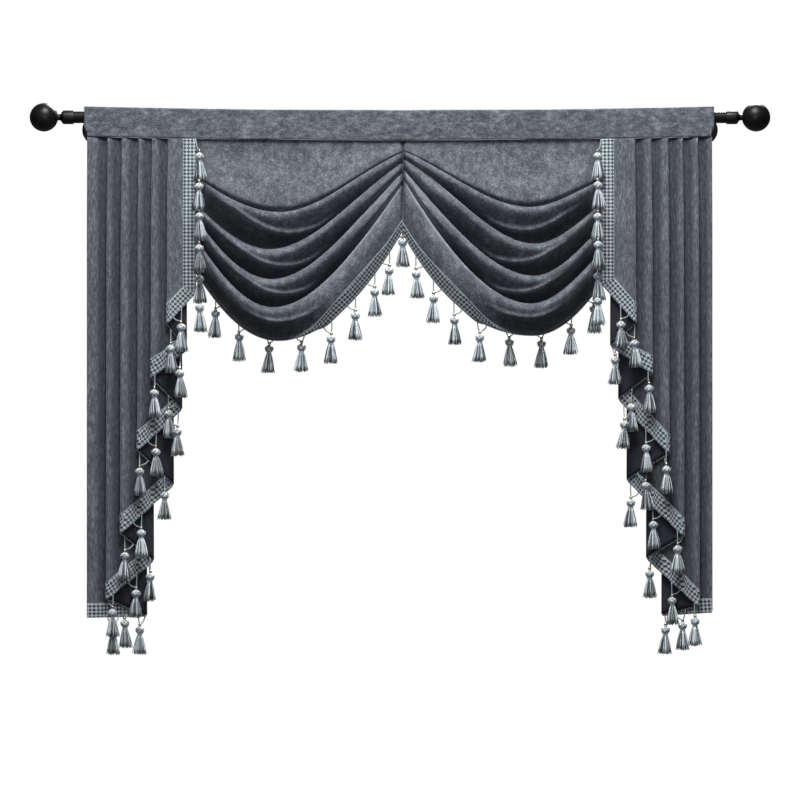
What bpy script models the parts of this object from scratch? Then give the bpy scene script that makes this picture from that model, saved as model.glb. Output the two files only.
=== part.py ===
"""A swag valance hanging on a curtain rod, in metres, +Z up, with +Y pointing at the wall.

Two pleated swags meet at a middle seam. A cascade tail of knife pleats hangs at each side.
Both are sewn to the heading band, a rod pocket that hangs on a round rod with ball finials.
The hems carry a braid with tassels. The origin is on the wall, midway along the rod and level with it.
"""

import math
from typing import NamedTuple

import bmesh
import bpy
import numpy as np
from mathutils import Matrix, Vector

MM = 0.001

# Rod, finials and brackets
ROD_Y = -80 * MM
ROD_RADIUS = 14 * MM
ROD_HALF = 800 * MM
FIT = 0.3 * MM
COLLAR_START = 778 * MM
COLLAR_RADIUS = 16.5 * MM
COLLAR_END = 809 * MM
NECK_RADIUS = 7.5 * MM
BALL_CENTRE = 849 * MM
BALL_RADIUS = 34 * MM
BRACKET_X = 725 * MM
PLATE_Z = -27 * MM
PLATE_RADIUS = 34 * MM
PLATE_THICK = 5 * MM
STEM_RADIUS = 6.5 * MM
SADDLE_RADIUS = 17.5 * MM
SADDLE_WIDE = 16 * MM
POST_RADIUS = 6 * MM

# Cloth and heading band
CLOTH = 1.8 * MM
BAND_CLOTH = 2.0 * MM
BAND_LEFT = -752 * MM
BAND_RIGHT = 748 * MM
BAND_SAG = 8 * MM
BAND_BOTTOM = -46.5 * MM
BAND_CORNER = 8 * MM
BAND_STATIONS = (-650, -400, -130, 130, 400, 650)
CORNER_TOP = -20 * MM
CORNER_TALL = 25 * MM
POCKET_HALF = 700 * MM
NOTCH_LONG = 80 * MM
NOTCH_FRONT = -15.5 * MM
NOTCH_BACK = 30 * MM
NOTCH_BOTTOM = -70 * MM
NOTCH_TOP = 40 * MM
SEAM_X = 7 * MM

# Swags
SWAG_TOP_Y = -95 * MM
SWAG_BELLY = 26 * MM
SWAG_COLUMNS = 16
SWAG_SEAM_GAP = 0.8 * MM
FOLD_DEPTH = 0.52
ROLL = 0.11
LEAN = 0.25
STEPS_PER_FOLD = 5
PANEL_STEPS = 4
SEAM_EASE = 70 * MM
SIDE_EASE = 95 * MM
SEAM_FULLNESS = 0.16
SIDE_FULLNESS = 0.06
PANEL_SWEEP = 1.2
BELLY_START = 1.1
HEM_ROLL = (0.12, 0.40)
HEM_ROLL_START = 0.25
HEM_ROLL_EASE = 0.3
BRAID_SHARE = (0.25, 0.62)
HEM_BRAID_END = 0.92

# Tails
LEVELS = (-47 * MM, -120 * MM, -250 * MM, -1190 * MM)
TAIL_FRONT = (-99 * MM, -107 * MM, -116 * MM, -119 * MM)
TAIL_PITCH = (3.6 * MM, 4.6 * MM, 6.2 * MM, 9.8 * MM)
COLUMN_STEP = 19 * MM
FOLD_REACH = 6 * MM
FOLD_EASE = 32 * MM
FOLD_BULGE = 0.42
FOLD_RUN = 10 * MM

# Braid and tassels
BRAID_WIDE = 30 * MM
BRAID_THICK = 1.2 * MM
BRAID_LIFT = CLOTH / 2 + 0.7 * MM
BRAID_DROP = 3 * MM
DROP_EASE = 4 * MM
UPRIGHT = 99
CORD_WIDE = 2.4 * MM
CORD_OUT = 9.5 * MM
CORD_DROP = 7 * MM
CORD_SPREAD = 11 * MM
TASSEL_PITCH_SWAG = 74 * MM
TASSEL_PITCH_TAIL = 72 * MM
TASSEL_FIRST_SWAG = {"left": 12 * MM, "right": 70 * MM}
TASSEL_FIRST_TAIL = 30 * MM
TASSEL_LONG = (63 * MM, 74 * MM)
TASSEL_RINGS = ((2.4, 3.5), (4.6, 0.0), (2.6, -4.5), (10.0, -13.0), (5.5, -23.0))
SKIRT_WIDE = 20 * MM
SKIRT_DEEP = 12 * MM
LOCK_ROOT = 3 * MM
LOCK_PARTING = math.radians(9)
HEAD_LONG = 24 * MM
HEAD_HALF = 10 * MM
BEAD_TALL = 4 * MM
CORD_END = 0.85
LAST_SPOT = 60 * MM
TASSEL_CLEAR = 3.4 * MM
FORWARD_STEPS = (0, 4, 8, 12, 16, 20, 24, 28, 32)
SHIFT_STEPS = (0, 5, -5, 10, -10, 15, -15, 20, -20)


class Crest(NamedTuple):
    """A line across a swag, in millimetres and slopes, from the middle seam out to the side."""

    seam_z: float
    low_x: float
    low_z: float
    side_z: float
    seam_slope: float
    side_slope: float


class Swag(NamedTuple):
    """One swag: its width from the middle seam, the crests of its folds, and its hem."""

    wide: float
    crests: tuple


class Pleat(NamedTuple):
    """A fold line of a tail, in millimetres: how far from the middle it lies, and the hem's height there."""

    out: float
    hem_z: float


SWAGS = {
    "left": Swag(
        506,
        (
            Crest(-86, 293, -231, -136, 0.45, 1.7),
            Crest(-110, 317, -319, -198, 1.0, 1.65),
            Crest(-133, 312, -390, -224, 1.2, 1.8),
            Crest(-162, 309, -457, -271, 1.5, 1.7),
            Crest(-264, 298, -529, -341, 2.0, 1.95),
        ),
    ),
    "right": Swag(
        485,
        (
            Crest(-83, 300, -219, -148, 0.9, 1.1),
            Crest(-102, 314, -306, -200, 0.8, 1.28),
            Crest(-126, 312, -382, -254, 1.4, 1.3),
            Crest(-150, 305, -448, -310, 1.7, 1.4),
            Crest(-274, 309, -517, -371, 2.3, 1.9),
        ),
    ),
}

TAILS = {
    "left": (
        Pleat(486, -417),
        Pleat(550, -490),
        Pleat(512, -552),
        Pleat(588, -617),
        Pleat(524, -693),
        Pleat(620, -790),
        Pleat(545, -874),
        Pleat(660, -988),
        Pleat(593, -1055),
        Pleat(694, -1145),
        Pleat(610, -1188),
        Pleat(745, -1188),
    ),
    "right": (
        Pleat(479, -395),
        Pleat(557, -488),
        Pleat(505, -543),
        Pleat(596, -607),
        Pleat(525, -669),
        Pleat(636, -798),
        Pleat(546, -862),
        Pleat(671, -995),
        Pleat(593, -1049),
        Pleat(707, -1162),
        Pleat(630, -1186),
        Pleat(743, -1176),
    ),
}

SIDES = {"left": -1, "right": 1}

# The band's section as (y from the rod's axis, z, share of the sag that reaches it), in millimetres
BAND_SECTION = (
    (-20.8, -45.5, 1.0),
    (-20.8, 0.0, 1.0),
    (-20.8, 20.0, 1.0),
    (-20.2, 23.2, 1.0),
    (-19.0, 24.0, 1.0),
    (-17.8, 23.2, 1.0),
    (-17.2, 20.0, 1.0),
    (-15.0, 16.2, 0.8),
    (-8.1, 14.1, 0.0),
    (0.0, 16.2, 0.0),
    (8.1, 14.0, 0.0),
    (14.0, 8.1, 0.0),
    (16.2, 0.0, 0.0),
    (14.8, -8.5, 0.0),
    (9.0, -20.0, 0.4),
    (-2.0, -33.0, 0.8),
    (-11.0, -42.0, 1.0),
    (-14.6, -45.5, 1.0),
)


def ease(share):
    share = np.clip(share, 0.0, 1.0)
    return share * share * (3 - 2 * share)


def clear_scene():
    for thing in list(bpy.data.objects):
        bpy.data.objects.remove(thing, do_unlink=True)


def new_material(name, colour, roughness, metallic=0.0):
    material = bpy.data.materials.new(name)
    material.use_nodes = True
    shader = material.node_tree.nodes["Principled BSDF"]
    shader.inputs["Base Color"].default_value = (*colour, 1.0)
    shader.inputs["Roughness"].default_value = roughness
    shader.inputs["Metallic"].default_value = metallic
    return material


def finish(name, shape, material, smooth_angle=math.radians(50)):
    """Turns a bmesh into a named object under the valance's empty, with its faces pointing out."""
    bmesh.ops.recalc_face_normals(shape, faces=shape.faces)
    if shape.calc_volume(signed=True) < 0:
        bmesh.ops.reverse_faces(shape, faces=shape.faces)
    mesh = bpy.data.meshes.new(name)
    shape.to_mesh(mesh)
    shape.free()
    mesh.shade_smooth()
    mesh.set_sharp_from_angle(angle=smooth_angle)
    mesh.materials.append(material)
    thing = bpy.data.objects.new(name, mesh)
    bpy.context.scene.collection.objects.link(thing)
    thing.parent = bpy.data.objects["valance"]
    return thing


def shape_of(points, faces):
    shape = bmesh.new()
    verts = [shape.verts.new(point) for point in points]
    for face in faces:
        shape.faces.new([verts[i] for i in face])
    return shape


def split(quads):
    """Both halves of each four-sided face, cut along the same corner to corner line."""
    return np.concatenate([quads[:, [0, 1, 2]], quads[:, [0, 2, 3]]])


def grid_faces(index):
    """The faces of a grid of point numbers, all cut the same way."""
    corners = (index[:-1, :-1], index[:-1, 1:], index[1:, 1:], index[1:, :-1])
    return split(np.stack([corner.ravel() for corner in corners], axis=1))


def closed_sheet(face, back):
    """The bmesh of a sheet between two grids of points that have the same rows and columns."""
    rows, columns = face.shape[:2]
    count = rows * columns
    index = np.arange(count).reshape(rows, columns)
    edge = np.concatenate([index[0, :-1], index[:-1, -1], index[-1, :0:-1], index[:0:-1, 0]])
    after = np.roll(edge, -1)
    rim = np.stack([after, edge, edge + count, after + count], axis=1)
    faces = np.concatenate([grid_faces(index), grid_faces(index + count)[:, ::-1], split(rim)])
    points = np.concatenate([face.reshape(-1, 3), back.reshape(-1, 3)])
    return shape_of(points.tolist(), faces.tolist())


def turned(profile, sides):
    """A round solid about the x axis from (x, radius) pairs that start and end on the axis."""
    shape = bmesh.new()
    verts = [shape.verts.new((x, 0.0, radius)) for x, radius in profile]
    edges = [shape.edges.new(pair) for pair in zip(verts, verts[1:])]
    bmesh.ops.spin(
        shape,
        geom=verts + edges,
        cent=(0, 0, 0),
        axis=(1, 0, 0),
        angle=math.tau,
        steps=sides,
        use_merge=True,
    )
    bmesh.ops.remove_doubles(shape, verts=shape.verts, dist=0.01 * MM)
    return shape


def band_bottom(x):
    """The height of the heading band's lower edge, which sags a little between the brackets."""
    return BAND_BOTTOM - BAND_SAG * (1 - (x / BAND_RIGHT) ** 2)


def rod(material):
    shape = turned(((-ROD_HALF, 0), (-ROD_HALF, ROD_RADIUS), (ROD_HALF, ROD_RADIUS), (ROD_HALF, 0)), 24)
    finish("rod", shape, material).location = (0, ROD_Y, 0)


def finial(side, material):
    """A collar that fits over the rod's end, a neck and a ball, turned as one piece."""
    bore = ROD_RADIUS + FIT
    stop = ROD_HALF + FIT
    start = math.pi - math.asin(NECK_RADIUS / BALL_RADIUS)
    ball = [
        (BALL_CENTRE + BALL_RADIUS * math.cos(turn), BALL_RADIUS * math.sin(turn))
        for turn in np.linspace(start, 0, 8)
    ]
    profile = [
        (stop, 0),
        (stop, bore),
        (COLLAR_START, bore),
        (COLLAR_START, COLLAR_RADIUS),
        (COLLAR_END - 6 * MM, COLLAR_RADIUS),
        (COLLAR_END, NECK_RADIUS + 2 * MM),
        *ball[:-1],
        (BALL_CENTRE + BALL_RADIUS, 0),
    ]
    shape = turned(profile, 16)
    bmesh.ops.scale(shape, vec=(SIDES[side], 1, 1), verts=shape.verts)
    finish(f"finial_{side}", shape, material, math.radians(35)).location = (0, ROD_Y, 0)


def hidden_helper(thing):
    thing.hide_render = True
    thing.display_type = "WIRE"
    return thing


def boolean(thing, other, operation):
    modifier = thing.modifiers.new(operation.title(), "BOOLEAN")
    modifier.operation = operation
    modifier.solver = "EXACT"
    modifier.object = hidden_helper(other)


def bracket(side, material):
    """A wall plate with a turned stem that ends in a post and an open saddle under the rod."""
    reach = -ROD_Y
    stem = turned(
        (
            (0, 0),
            (0, PLATE_RADIUS),
            (PLATE_THICK - 1.5 * MM, PLATE_RADIUS),
            (PLATE_THICK, PLATE_RADIUS - 2 * MM),
            (PLATE_THICK + MM, STEM_RADIUS + 4 * MM),
            (PLATE_THICK + 7 * MM, STEM_RADIUS),
            (reach + 2 * MM, STEM_RADIUS),
            (reach + 4 * MM, STEM_RADIUS - 2 * MM),
            (reach + 4 * MM, 0),
        ),
        20,
    )
    bmesh.ops.rotate(stem, verts=stem.verts, matrix=Matrix.Rotation(-math.pi / 2, 3, "Z"))
    body = finish(f"bracket_{side}", stem, material, math.radians(35))
    body.location = (SIDES[side] * BRACKET_X, 0, PLATE_Z)

    cradle = bmesh.new()
    turns = np.radians(np.linspace(168, 372, 13))
    outline = [(SADDLE_RADIUS * math.cos(a), SADDLE_RADIUS * math.sin(a)) for a in turns]
    inner = ROD_RADIUS + FIT
    outline += [(inner * math.cos(a), inner * math.sin(a)) for a in turns[::-1]]
    profile = cradle.faces.new([cradle.verts.new((-SADDLE_WIDE / 2, y, z)) for y, z in outline])
    made = bmesh.ops.extrude_face_region(cradle, geom=[profile])
    moved = [v for v in made["geom"] if isinstance(v, bmesh.types.BMVert)]
    bmesh.ops.translate(cradle, vec=(SADDLE_WIDE, 0, 0), verts=moved)
    cradle = finish(f"saddle_{side}", cradle, material)
    cradle.location = (SIDES[side] * BRACKET_X, ROD_Y, 0)

    post = bmesh.new()
    top = -(SADDLE_RADIUS - 2 * MM)
    bottom = PLATE_Z - STEM_RADIUS - MM
    middle = Matrix.Translation((0, 0, (top + bottom) / 2))
    bmesh.ops.create_cone(
        post,
        cap_ends=True,
        segments=12,
        radius1=POST_RADIUS,
        radius2=POST_RADIUS,
        depth=top - bottom,
        matrix=middle,
    )
    post = finish(f"post_{side}", post, material)
    post.location = (SIDES[side] * BRACKET_X, ROD_Y, 0)
    boolean(body, cradle, "UNION")
    boolean(body, post, "UNION")


def box(name, low, high, material):
    shape = bmesh.new()
    low, high = Vector(low), Vector(high)
    middle = Matrix.Translation((low + high) / 2) @ Matrix.Diagonal((*(high - low), 1))
    bmesh.ops.create_cube(shape, size=1, matrix=middle)
    return finish(name, shape, material)


def heading_band(material):
    """The rod pocket: one closed loop of cloth carried along the rod, cut away behind at both brackets."""
    section = np.array(BAND_SECTION)
    middle = section[:, :2] * MM
    before = middle - np.roll(middle, 1, axis=0)
    after = np.roll(middle, -1, axis=0) - middle
    normals = []
    for step in (before, after):
        step = step / np.linalg.norm(step, axis=1, keepdims=True)
        normals.append(np.stack([-step[:, 1], step[:, 0]], axis=1))
    mitre = normals[0] + normals[1]
    mitre /= np.linalg.norm(mitre, axis=1, keepdims=True)
    mitre /= np.maximum((mitre * normals[0]).sum(axis=1, keepdims=True), 0.6)
    ends = (BAND_LEFT, BAND_RIGHT)
    stations = (BAND_LEFT, *[x * MM for x in BAND_STATIONS], BAND_RIGHT)
    rings = []
    for offset in (BAND_CLOTH / 2, -BAND_CLOTH / 2):
        loop = middle + mitre * offset
        ring = np.zeros((len(stations), len(loop), 3))
        for place, x in zip(ring, stations):
            sag = (band_bottom(x) - BAND_BOTTOM) * section[:, 2]
            place[:, 0] = x
            place[:, 1] = ROD_Y + loop[:, 0]
            place[:, 2] = loop[:, 1] + sag
            if x in ends:
                drawn_in = BAND_CORNER * ease((CORNER_TOP - loop[:, 1]) / CORNER_TALL)
                place[:, 0] -= np.sign(x) * drawn_in
        rings.append(ring)
    count = rings[0].shape[0] * rings[0].shape[1]
    index = np.arange(count).reshape(rings[0].shape[:2])
    wrapped = np.concatenate([index, index[:, :1]], axis=1)
    first, last = wrapped[0], wrapped[-1]
    start = np.stack([first[1:], first[:-1], first[:-1] + count, first[1:] + count], axis=1)
    end = np.stack([last[:-1], last[1:], last[1:] + count, last[:-1] + count], axis=1)
    closing = split(np.concatenate([start, end]))
    faces = np.concatenate([grid_faces(wrapped), grid_faces(wrapped + count)[:, ::-1], closing])
    points = np.concatenate([ring.reshape(-1, 3) for ring in rings])
    band = finish("heading_band", shape_of(points.tolist(), faces.tolist()), material)
    for side, sign in SIDES.items():
        near, far = sorted((sign * POCKET_HALF, sign * (POCKET_HALF + NOTCH_LONG)))
        low = (near, ROD_Y + NOTCH_FRONT, NOTCH_BOTTOM)
        high = (far, ROD_Y + NOTCH_BACK, NOTCH_TOP)
        boolean(band, box(f"pocket_notch_{side}", low, high, material), "DIFFERENCE")


def crest_height(crest, x, wide):
    """Height along a crest: a cubic from the middle seam down to its lowest point, and one up to the side."""
    inner = np.clip(x / crest.low_x, 0, 1)
    fall = crest.seam_slope * (inner**3 - 2 * inner**2 + inner) + ease(inner)
    outer = np.clip((x - crest.low_x) / (wide - crest.low_x), 0, 1)
    rise = crest.side_slope * (outer**3 - outer**2) + ease(outer)
    down = crest.seam_z + (crest.low_z - crest.seam_z) * fall
    up = crest.low_z + (crest.side_z - crest.low_z) * rise
    return np.where(x <= crest.low_x, down, up)


def swag_grid(side):
    """The middle of a swag's cloth as rows by columns of points, and the first row of its braid.

    Each column is one upright section. It hangs flat to the first crest, swings through one
    undercut wave for each further fold, and turns under a little at the hem.
    """
    swag = SWAGS[side]
    x = np.linspace(SWAG_SEAM_GAP / MM, swag.wide, SWAG_COLUMNS + 1)
    z = [np.asarray(crest_height(crest, x, swag.wide)) * MM for crest in swag.crests]
    world_x = SEAM_X + SIDES[side] * x * MM
    top = band_bottom(world_x) - FIT
    full = SEAM_FULLNESS + (1 - SEAM_FULLNESS) * ease(x * MM / SEAM_EASE)
    side_ease = ease((swag.wide - x) * MM / SIDE_EASE)
    full = full * (SIDE_FULLNESS + (1 - SIDE_FULLNESS) * side_ease)
    depths = [FOLD_DEPTH * full * (above - below) for above, below in zip(z, z[1:])]
    depths = [depths[0], *depths[:3], 0.5 * (depths[2] + depths[3])]

    heights, forward = [], []
    for step in range(PANEL_STEPS):
        share = step / PANEL_STEPS
        heights.append(top + (z[0] - top) * share)
        forward.append(depths[0] * (0.5 - 0.5 * math.cos(math.pi * share)) ** PANEL_SWEEP)
    for fold in range(len(z) - 2):
        drop = z[fold] - z[fold + 1]
        for step in range(STEPS_PER_FOLD):
            share = step / STEPS_PER_FOLD
            turn = math.tau * share
            depth = depths[fold] * (1 - share) + depths[fold + 1] * share
            back = 0.5 - 0.5 * math.cos(turn)
            heights.append(z[fold] - drop * (share + ROLL * math.sin(turn)) + LEAN * depth * back)
            forward.append(depth * (1 - back))
    drop = z[3] - z[4]
    slope = np.gradient(z[4], x * MM)
    start = 1 - np.clip(BRAID_WIDE * np.sqrt(1 + slope**2) / drop, *BRAID_SHARE)
    braid_turn = np.arcsin(start)
    roll = HEM_ROLL[0] + HEM_ROLL[1] * ease((x / swag.wide - HEM_ROLL_START) / HEM_ROLL_EASE)
    turns = (0 * x, braid_turn / 2, braid_turn, (braid_turn + math.pi / 2) / 2, 0 * x + math.pi / 2)
    for turn in turns:
        heights.append(z[3] - drop * np.sin(turn))
        forward.append(depths[3] * (1 - roll * (1 - np.cos(turn))))
    heights = np.array([height + 0 * x for height in heights])
    forward = np.array(forward)
    fallen = (top - heights) / (top - z[4])
    belly = SWAG_BELLY * np.sin(np.pi * x / swag.wide) * ease(fallen * BELLY_START)
    y = SWAG_TOP_Y - belly - forward
    grid = np.stack([world_x + 0 * heights, y, heights], axis=2)
    return grid, len(heights) - 3


def sheet_normals(grid, face_forward=-1):
    """Unit normals of a grid, taken from its neighbours, turned to the cloth's face."""
    down = np.gradient(grid, axis=0)
    across = np.gradient(grid, axis=1)
    normal = np.cross(down, across)
    normal[:, 0, 0] = 0
    normal[:, -1, 0] = 0
    normal /= np.linalg.norm(normal, axis=2, keepdims=True)
    turn = np.sign(normal[0, :, 1].sum()) * face_forward
    return normal * turn


def swag(side, material):
    grid, _ = swag_grid(side)
    normal = sheet_normals(grid)
    sheet = closed_sheet(grid + normal * CLOTH / 2, grid - normal * CLOTH / 2)
    finish(f"swag_{side}", sheet, material, math.radians(80))
    return grid


class Tail:
    """A tail's knife pleats. Each layer lies behind those that cover it, and steps forward past them."""

    def __init__(self, side):
        self.side = side
        self.out, self.bulge, self.layers, self.run, self.zone = [], [], [], [], []
        pleats = TAILS[side]
        out = [pleat.out * MM for pleat in pleats]
        self.spans = [sorted(pair) for pair in zip(out, out[1:])]
        run = 0.0
        fold_runs = [0.0]
        for layer, (start, end) in enumerate(zip(out, out[1:])):
            steps = max(2, round(abs(end - start) / COLUMN_STEP))
            for step in range(steps + 1):
                place = start + (end - start) * step / steps
                behind = self.layers_in_front(layer, place)
                self.add_column(place, 0.0, behind, run + abs(place - start), layer)
            run += abs(end - start)
            fold_runs.append(run)
            if layer < len(out) - 2:
                turn = math.copysign(FOLD_BULGE, end - start)
                run += FOLD_RUN
                fold_runs[-1] = run - FOLD_RUN / 2
                self.add_column(end, turn, self.layers_in_front(layer, end) + 0.5, fold_runs[-1], -1)
        for name in ("out", "bulge", "layers", "run", "zone"):
            setattr(self, name, np.array(getattr(self, name)))
        self.fold_runs = np.array(fold_runs)
        self.fold_hems = np.array([pleat.hem_z * MM for pleat in pleats])
        self.hem = self.hem_at(self.run)

    def add_column(self, out, bulge, layers, run, zone):
        self.out.append(out)
        self.bulge.append(bulge)
        self.layers.append(layers)
        self.run.append(run)
        self.zone.append(zone)

    def layers_in_front(self, layer, place):
        """How many layers of cloth cover this place, fading off past each fold."""
        count = 0.0
        for low, high in self.spans[:layer]:
            inner = ease((place - (low - FOLD_REACH - FOLD_EASE)) / FOLD_EASE)
            outer = ease(((high + FOLD_REACH + FOLD_EASE) - place) / FOLD_EASE)
            count += float(inner * outer)
        return count

    def hem_at(self, run):
        return np.interp(run, self.fold_runs, self.fold_hems)

    def middle(self, column, z):
        """Where a column's cloth is at a height, as (out, y) in the section."""
        levels = LEVELS[::-1]
        pitch = np.interp(z, levels, TAIL_PITCH[::-1])
        front = np.interp(z, levels, TAIL_FRONT[::-1])
        out = self.out[column] + self.bulge[column] * pitch
        return np.stack([out, front + pitch * self.layers[column]], axis=-1)

    def points(self, column, z, lift):
        """Points of whole columns, lifted off the cloth's middle towards its face with mitred corners."""
        last = len(self.out) - 1
        here = self.middle(column, z)
        before = here - self.middle(np.maximum(column - 1, 0), z)
        after = self.middle(np.minimum(column + 1, last), z) - here
        before = np.where((column == 0)[..., None], after, before)
        after = np.where((column == last)[..., None], before, after)
        first = np.stack([before[..., 1], -before[..., 0]], axis=-1)
        second = np.stack([after[..., 1], -after[..., 0]], axis=-1)
        first = first / np.linalg.norm(first, axis=-1, keepdims=True)
        second = second / np.linalg.norm(second, axis=-1, keepdims=True)
        mitre = first + second
        mitre = mitre / np.linalg.norm(mitre, axis=-1, keepdims=True)
        mitre = mitre / np.maximum((mitre * first).sum(axis=-1, keepdims=True), 0.4)
        moved = here + mitre * lift
        return np.stack([SIDES[self.side] * moved[..., 0], moved[..., 1], z], axis=-1)

    def between(self, column, z, lift):
        """The same for places between two columns."""
        low = np.clip(np.floor(column).astype(int), 0, len(self.out) - 2)
        share = (column - low)[..., None]
        return self.points(low, z, lift) * (1 - share) + self.points(low + 1, z, lift) * share

    def column_at(self, run):
        return np.interp(run, self.run, np.arange(len(self.run)))


def tail_rows(tail):
    """Heights of the tail's rows: the seam, two fixed levels, and the hem."""
    top = band_bottom(tail.out) - FIT
    return np.stack([top, 0 * top + LEVELS[1], 0 * top + LEVELS[2], tail.hem])


def tail_cloth(tail, material):
    z = tail_rows(tail)
    column = np.broadcast_to(np.arange(len(tail.out)), z.shape)
    sheet = closed_sheet(tail.points(column, z, CLOTH / 2), tail.points(column, z, -CLOTH / 2))
    finish(f"tail_{tail.side}", sheet, material, math.radians(60))
    samples = []
    for share in np.linspace(0, 1, 60):
        height = z[0] * (1 - share) + z[-1] * share
        samples.append(tail.points(np.arange(len(tail.out)), height, 0.0))
    return np.concatenate(samples)


class Fringe:
    """A braid strip as stations along an edge, each with rows of points near the cloth and off it."""

    def __init__(self):
        self.stations = []
        self.feet = {}
        self.tassels = []

    def add(self, near, off):
        self.stations.append(np.stack([near, off], axis=1))
        return len(self.stations) - 1


def matched(ring, outward, other, other_outward):
    """The other ring's points in the order that joins this ring, given which way each opening faces."""
    count = len(ring)
    middle = sum(ring, Vector()) / count
    far = sum(other, Vector()) / count

    def winding(loop, centre, facing):
        total = Vector()
        for a, b in zip(loop, loop[1:] + loop[:1]):
            total += (a - centre).cross(b - centre)
        return total.dot(facing)

    order = list(range(count))
    if winding(ring, middle, outward) * winding(other, far, other_outward) > 0:
        order.reverse()
    turns = [order[i:] + order[:i] for i in range(count)]
    shift = far - middle
    return min(turns, key=lambda turn: sum((other[b] - shift - a).length_squared for a, b in zip(ring, turn)))


def add_tube(shape, ring, outward, other):
    """Joins a strip's opening to an upward opening with four faces."""
    order = matched([v.co for v in ring], outward, [v.co for v in other], Vector((0, 0, 1)))
    other = [other[i] for i in order]
    for i in range(len(ring)):
        j = (i + 1) % len(ring)
        shape.faces.new((ring[i], ring[j], other[j], other[i]))


def cords_apart(roots, fields):
    """The least distance between two cords that run straight from their roots to the first two fields."""
    ends = [(centre_of(root[0]), centre_of(field)) for root, field in zip(roots, fields)]
    shares = [step / 8 for step in range(9)]
    tracks = [[start.lerp(end, share) for share in shares] for start, end in ends]
    return min((a - b).length for a in tracks[0] for b in tracks[1])


def centre_of(verts):
    return sum((v.co for v in verts), Vector()) / len(verts)


def add_tassel(shape, centre, long, roots):
    """A bead, a bound head and three locks that part below it, hung from two cords on the strip's edge.

    The body is six-sided. Its top and its underside are split into three four-sided fields about
    a middle point: two of the upper fields carry the cords, and each lower field carries one lock.
    """
    turns = [math.radians(60 * i - 30) for i in range(6)]
    rings = []
    for radius, z in TASSEL_RINGS:
        ring = []
        for turn in turns:
            place = (radius * MM * math.cos(turn), radius * MM * math.sin(turn), z * MM)
            ring.append(shape.verts.new(centre + Vector(place)))
        rings.append(ring)
    for upper, lower in zip(rings, rings[1:]):
        for i in range(6):
            j = (i + 1) % 6
            shape.faces.new((upper[i], upper[j], lower[j], lower[i]))
    cap = shape.verts.new(centre + Vector((0, 0, TASSEL_RINGS[0][1] * MM)))
    fields = [(cap, rings[0][i], rings[0][i + 1], rings[0][(i + 2) % 6]) for i in (0, 2, 4)]
    shape.faces.new(fields[2])
    if len(roots) == 1:
        fields[:2] = sorted(fields[:2], key=lambda field: (centre_of(field) - centre_of(roots[0][0])).length)
        shape.faces.new(fields[1])
    elif cords_apart(roots, fields) < cords_apart(roots[::-1], fields):
        roots = roots[::-1]
    for root, field in zip(roots, fields):
        add_tube(shape, *root, field)

    waist = shape.verts.new(centre + Vector((0, 0, TASSEL_RINGS[-1][1] * MM)))
    for i in (0, 2, 4):
        root = (waist, rings[-1][i], rings[-1][i + 1], rings[-1][(i + 2) % 6])
        middle = turns[i + 1]
        sides = (turns[i] + LOCK_PARTING, middle, turns[i] + math.tau / 3 - LOCK_PARTING)
        ends = [(LOCK_ROOT / SKIRT_WIDE, middle), *[(1.0, turn) for turn in sides]]
        tip = []
        for share, turn in ends:
            place = (share * SKIRT_WIDE * math.cos(turn), share * SKIRT_DEEP * math.sin(turn), -long)
            tip.append(shape.verts.new(centre + Vector(place)))
        for a in range(4):
            b = (a + 1) % 4
            shape.faces.new((root[a], root[b], tip[b], tip[a]))
        shape.faces.new(tip)


def fringe_body(name, fringe, material):
    """Closes the strip, leaving its edge open at each foot, and fuses the tassels to those openings."""
    shape = bmesh.new()
    grid = [[[shape.verts.new(p) for p in row] for row in station] for station in fringe.stations]
    rows = len(grid[0])
    for number, (a, b) in enumerate(zip(grid, grid[1:])):
        for row in range(rows - 1):
            for layer in (0, 1):
                shape.faces.new((a[row + 1][layer], b[row + 1][layer], b[row][layer]))
                shape.faces.new((a[row + 1][layer], b[row][layer], a[row][layer]))
        if number not in fringe.feet:
            shape.faces.new((a[0][0], b[0][0], b[0][1], a[0][1]))
        shape.faces.new((a[-1][0], a[-1][1], b[-1][1], b[-1][0]))
    for row in range(rows - 1):
        for end in (grid[0], grid[-1]):
            shape.faces.new((end[row][0], end[row][1], end[row + 1][1], end[row + 1][0]))
    for centre, long, feet in fringe.tassels:
        roots = []
        for i in feet:
            a, b = grid[i], grid[i + 1]
            roots.append(((a[0][0], b[0][0], b[0][1], a[0][1]), a[0][0].co - a[1][0].co))
        add_tassel(shape, Vector(centre), long, roots)
    bmesh.ops.remove_doubles(shape, verts=shape.verts, dist=0.01 * MM)
    finish(name, shape, material, math.radians(40))


class Hung(NamedTuple):
    """A tassel's place: its bead, its length, and the points of the edge that its cords leave from."""

    bead: tuple
    long: float
    feet: tuple


def tassel_at(edge, inward, along, spread, feet, cloth, forward):
    """A tassel hung at an edge point, in front of the cloth that it hangs before.

    The bead lies off the edge, and low enough for both cords to fall towards it from their feet.
    """
    outward = np.array([along[2], -along[0]])
    outward /= np.linalg.norm(outward)
    if outward @ np.array([inward[0], inward[2]]) > 0:
        outward = -outward
    level = abs(outward[1])
    drop = CORD_DROP * level + spread * abs(outward[0])
    long = TASSEL_LONG[0] + (TASSEL_LONG[1] - TASSEL_LONG[0]) * level
    x = edge[0] + CORD_OUT * outward[0]
    z = edge[2] + CORD_OUT * outward[1] - drop
    beside = np.abs(cloth[:, 0] - x) < SKIRT_WIDE
    level_with = (cloth[:, 2] < z) & (cloth[:, 2] > z - long)
    behind = cloth[beside & level_with, 1]
    y = min([edge[1], *(behind - SKIRT_DEEP - TASSEL_CLEAR)]) - forward
    return Hung((x, y, z), long, tuple(map(tuple, feet)))


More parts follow.
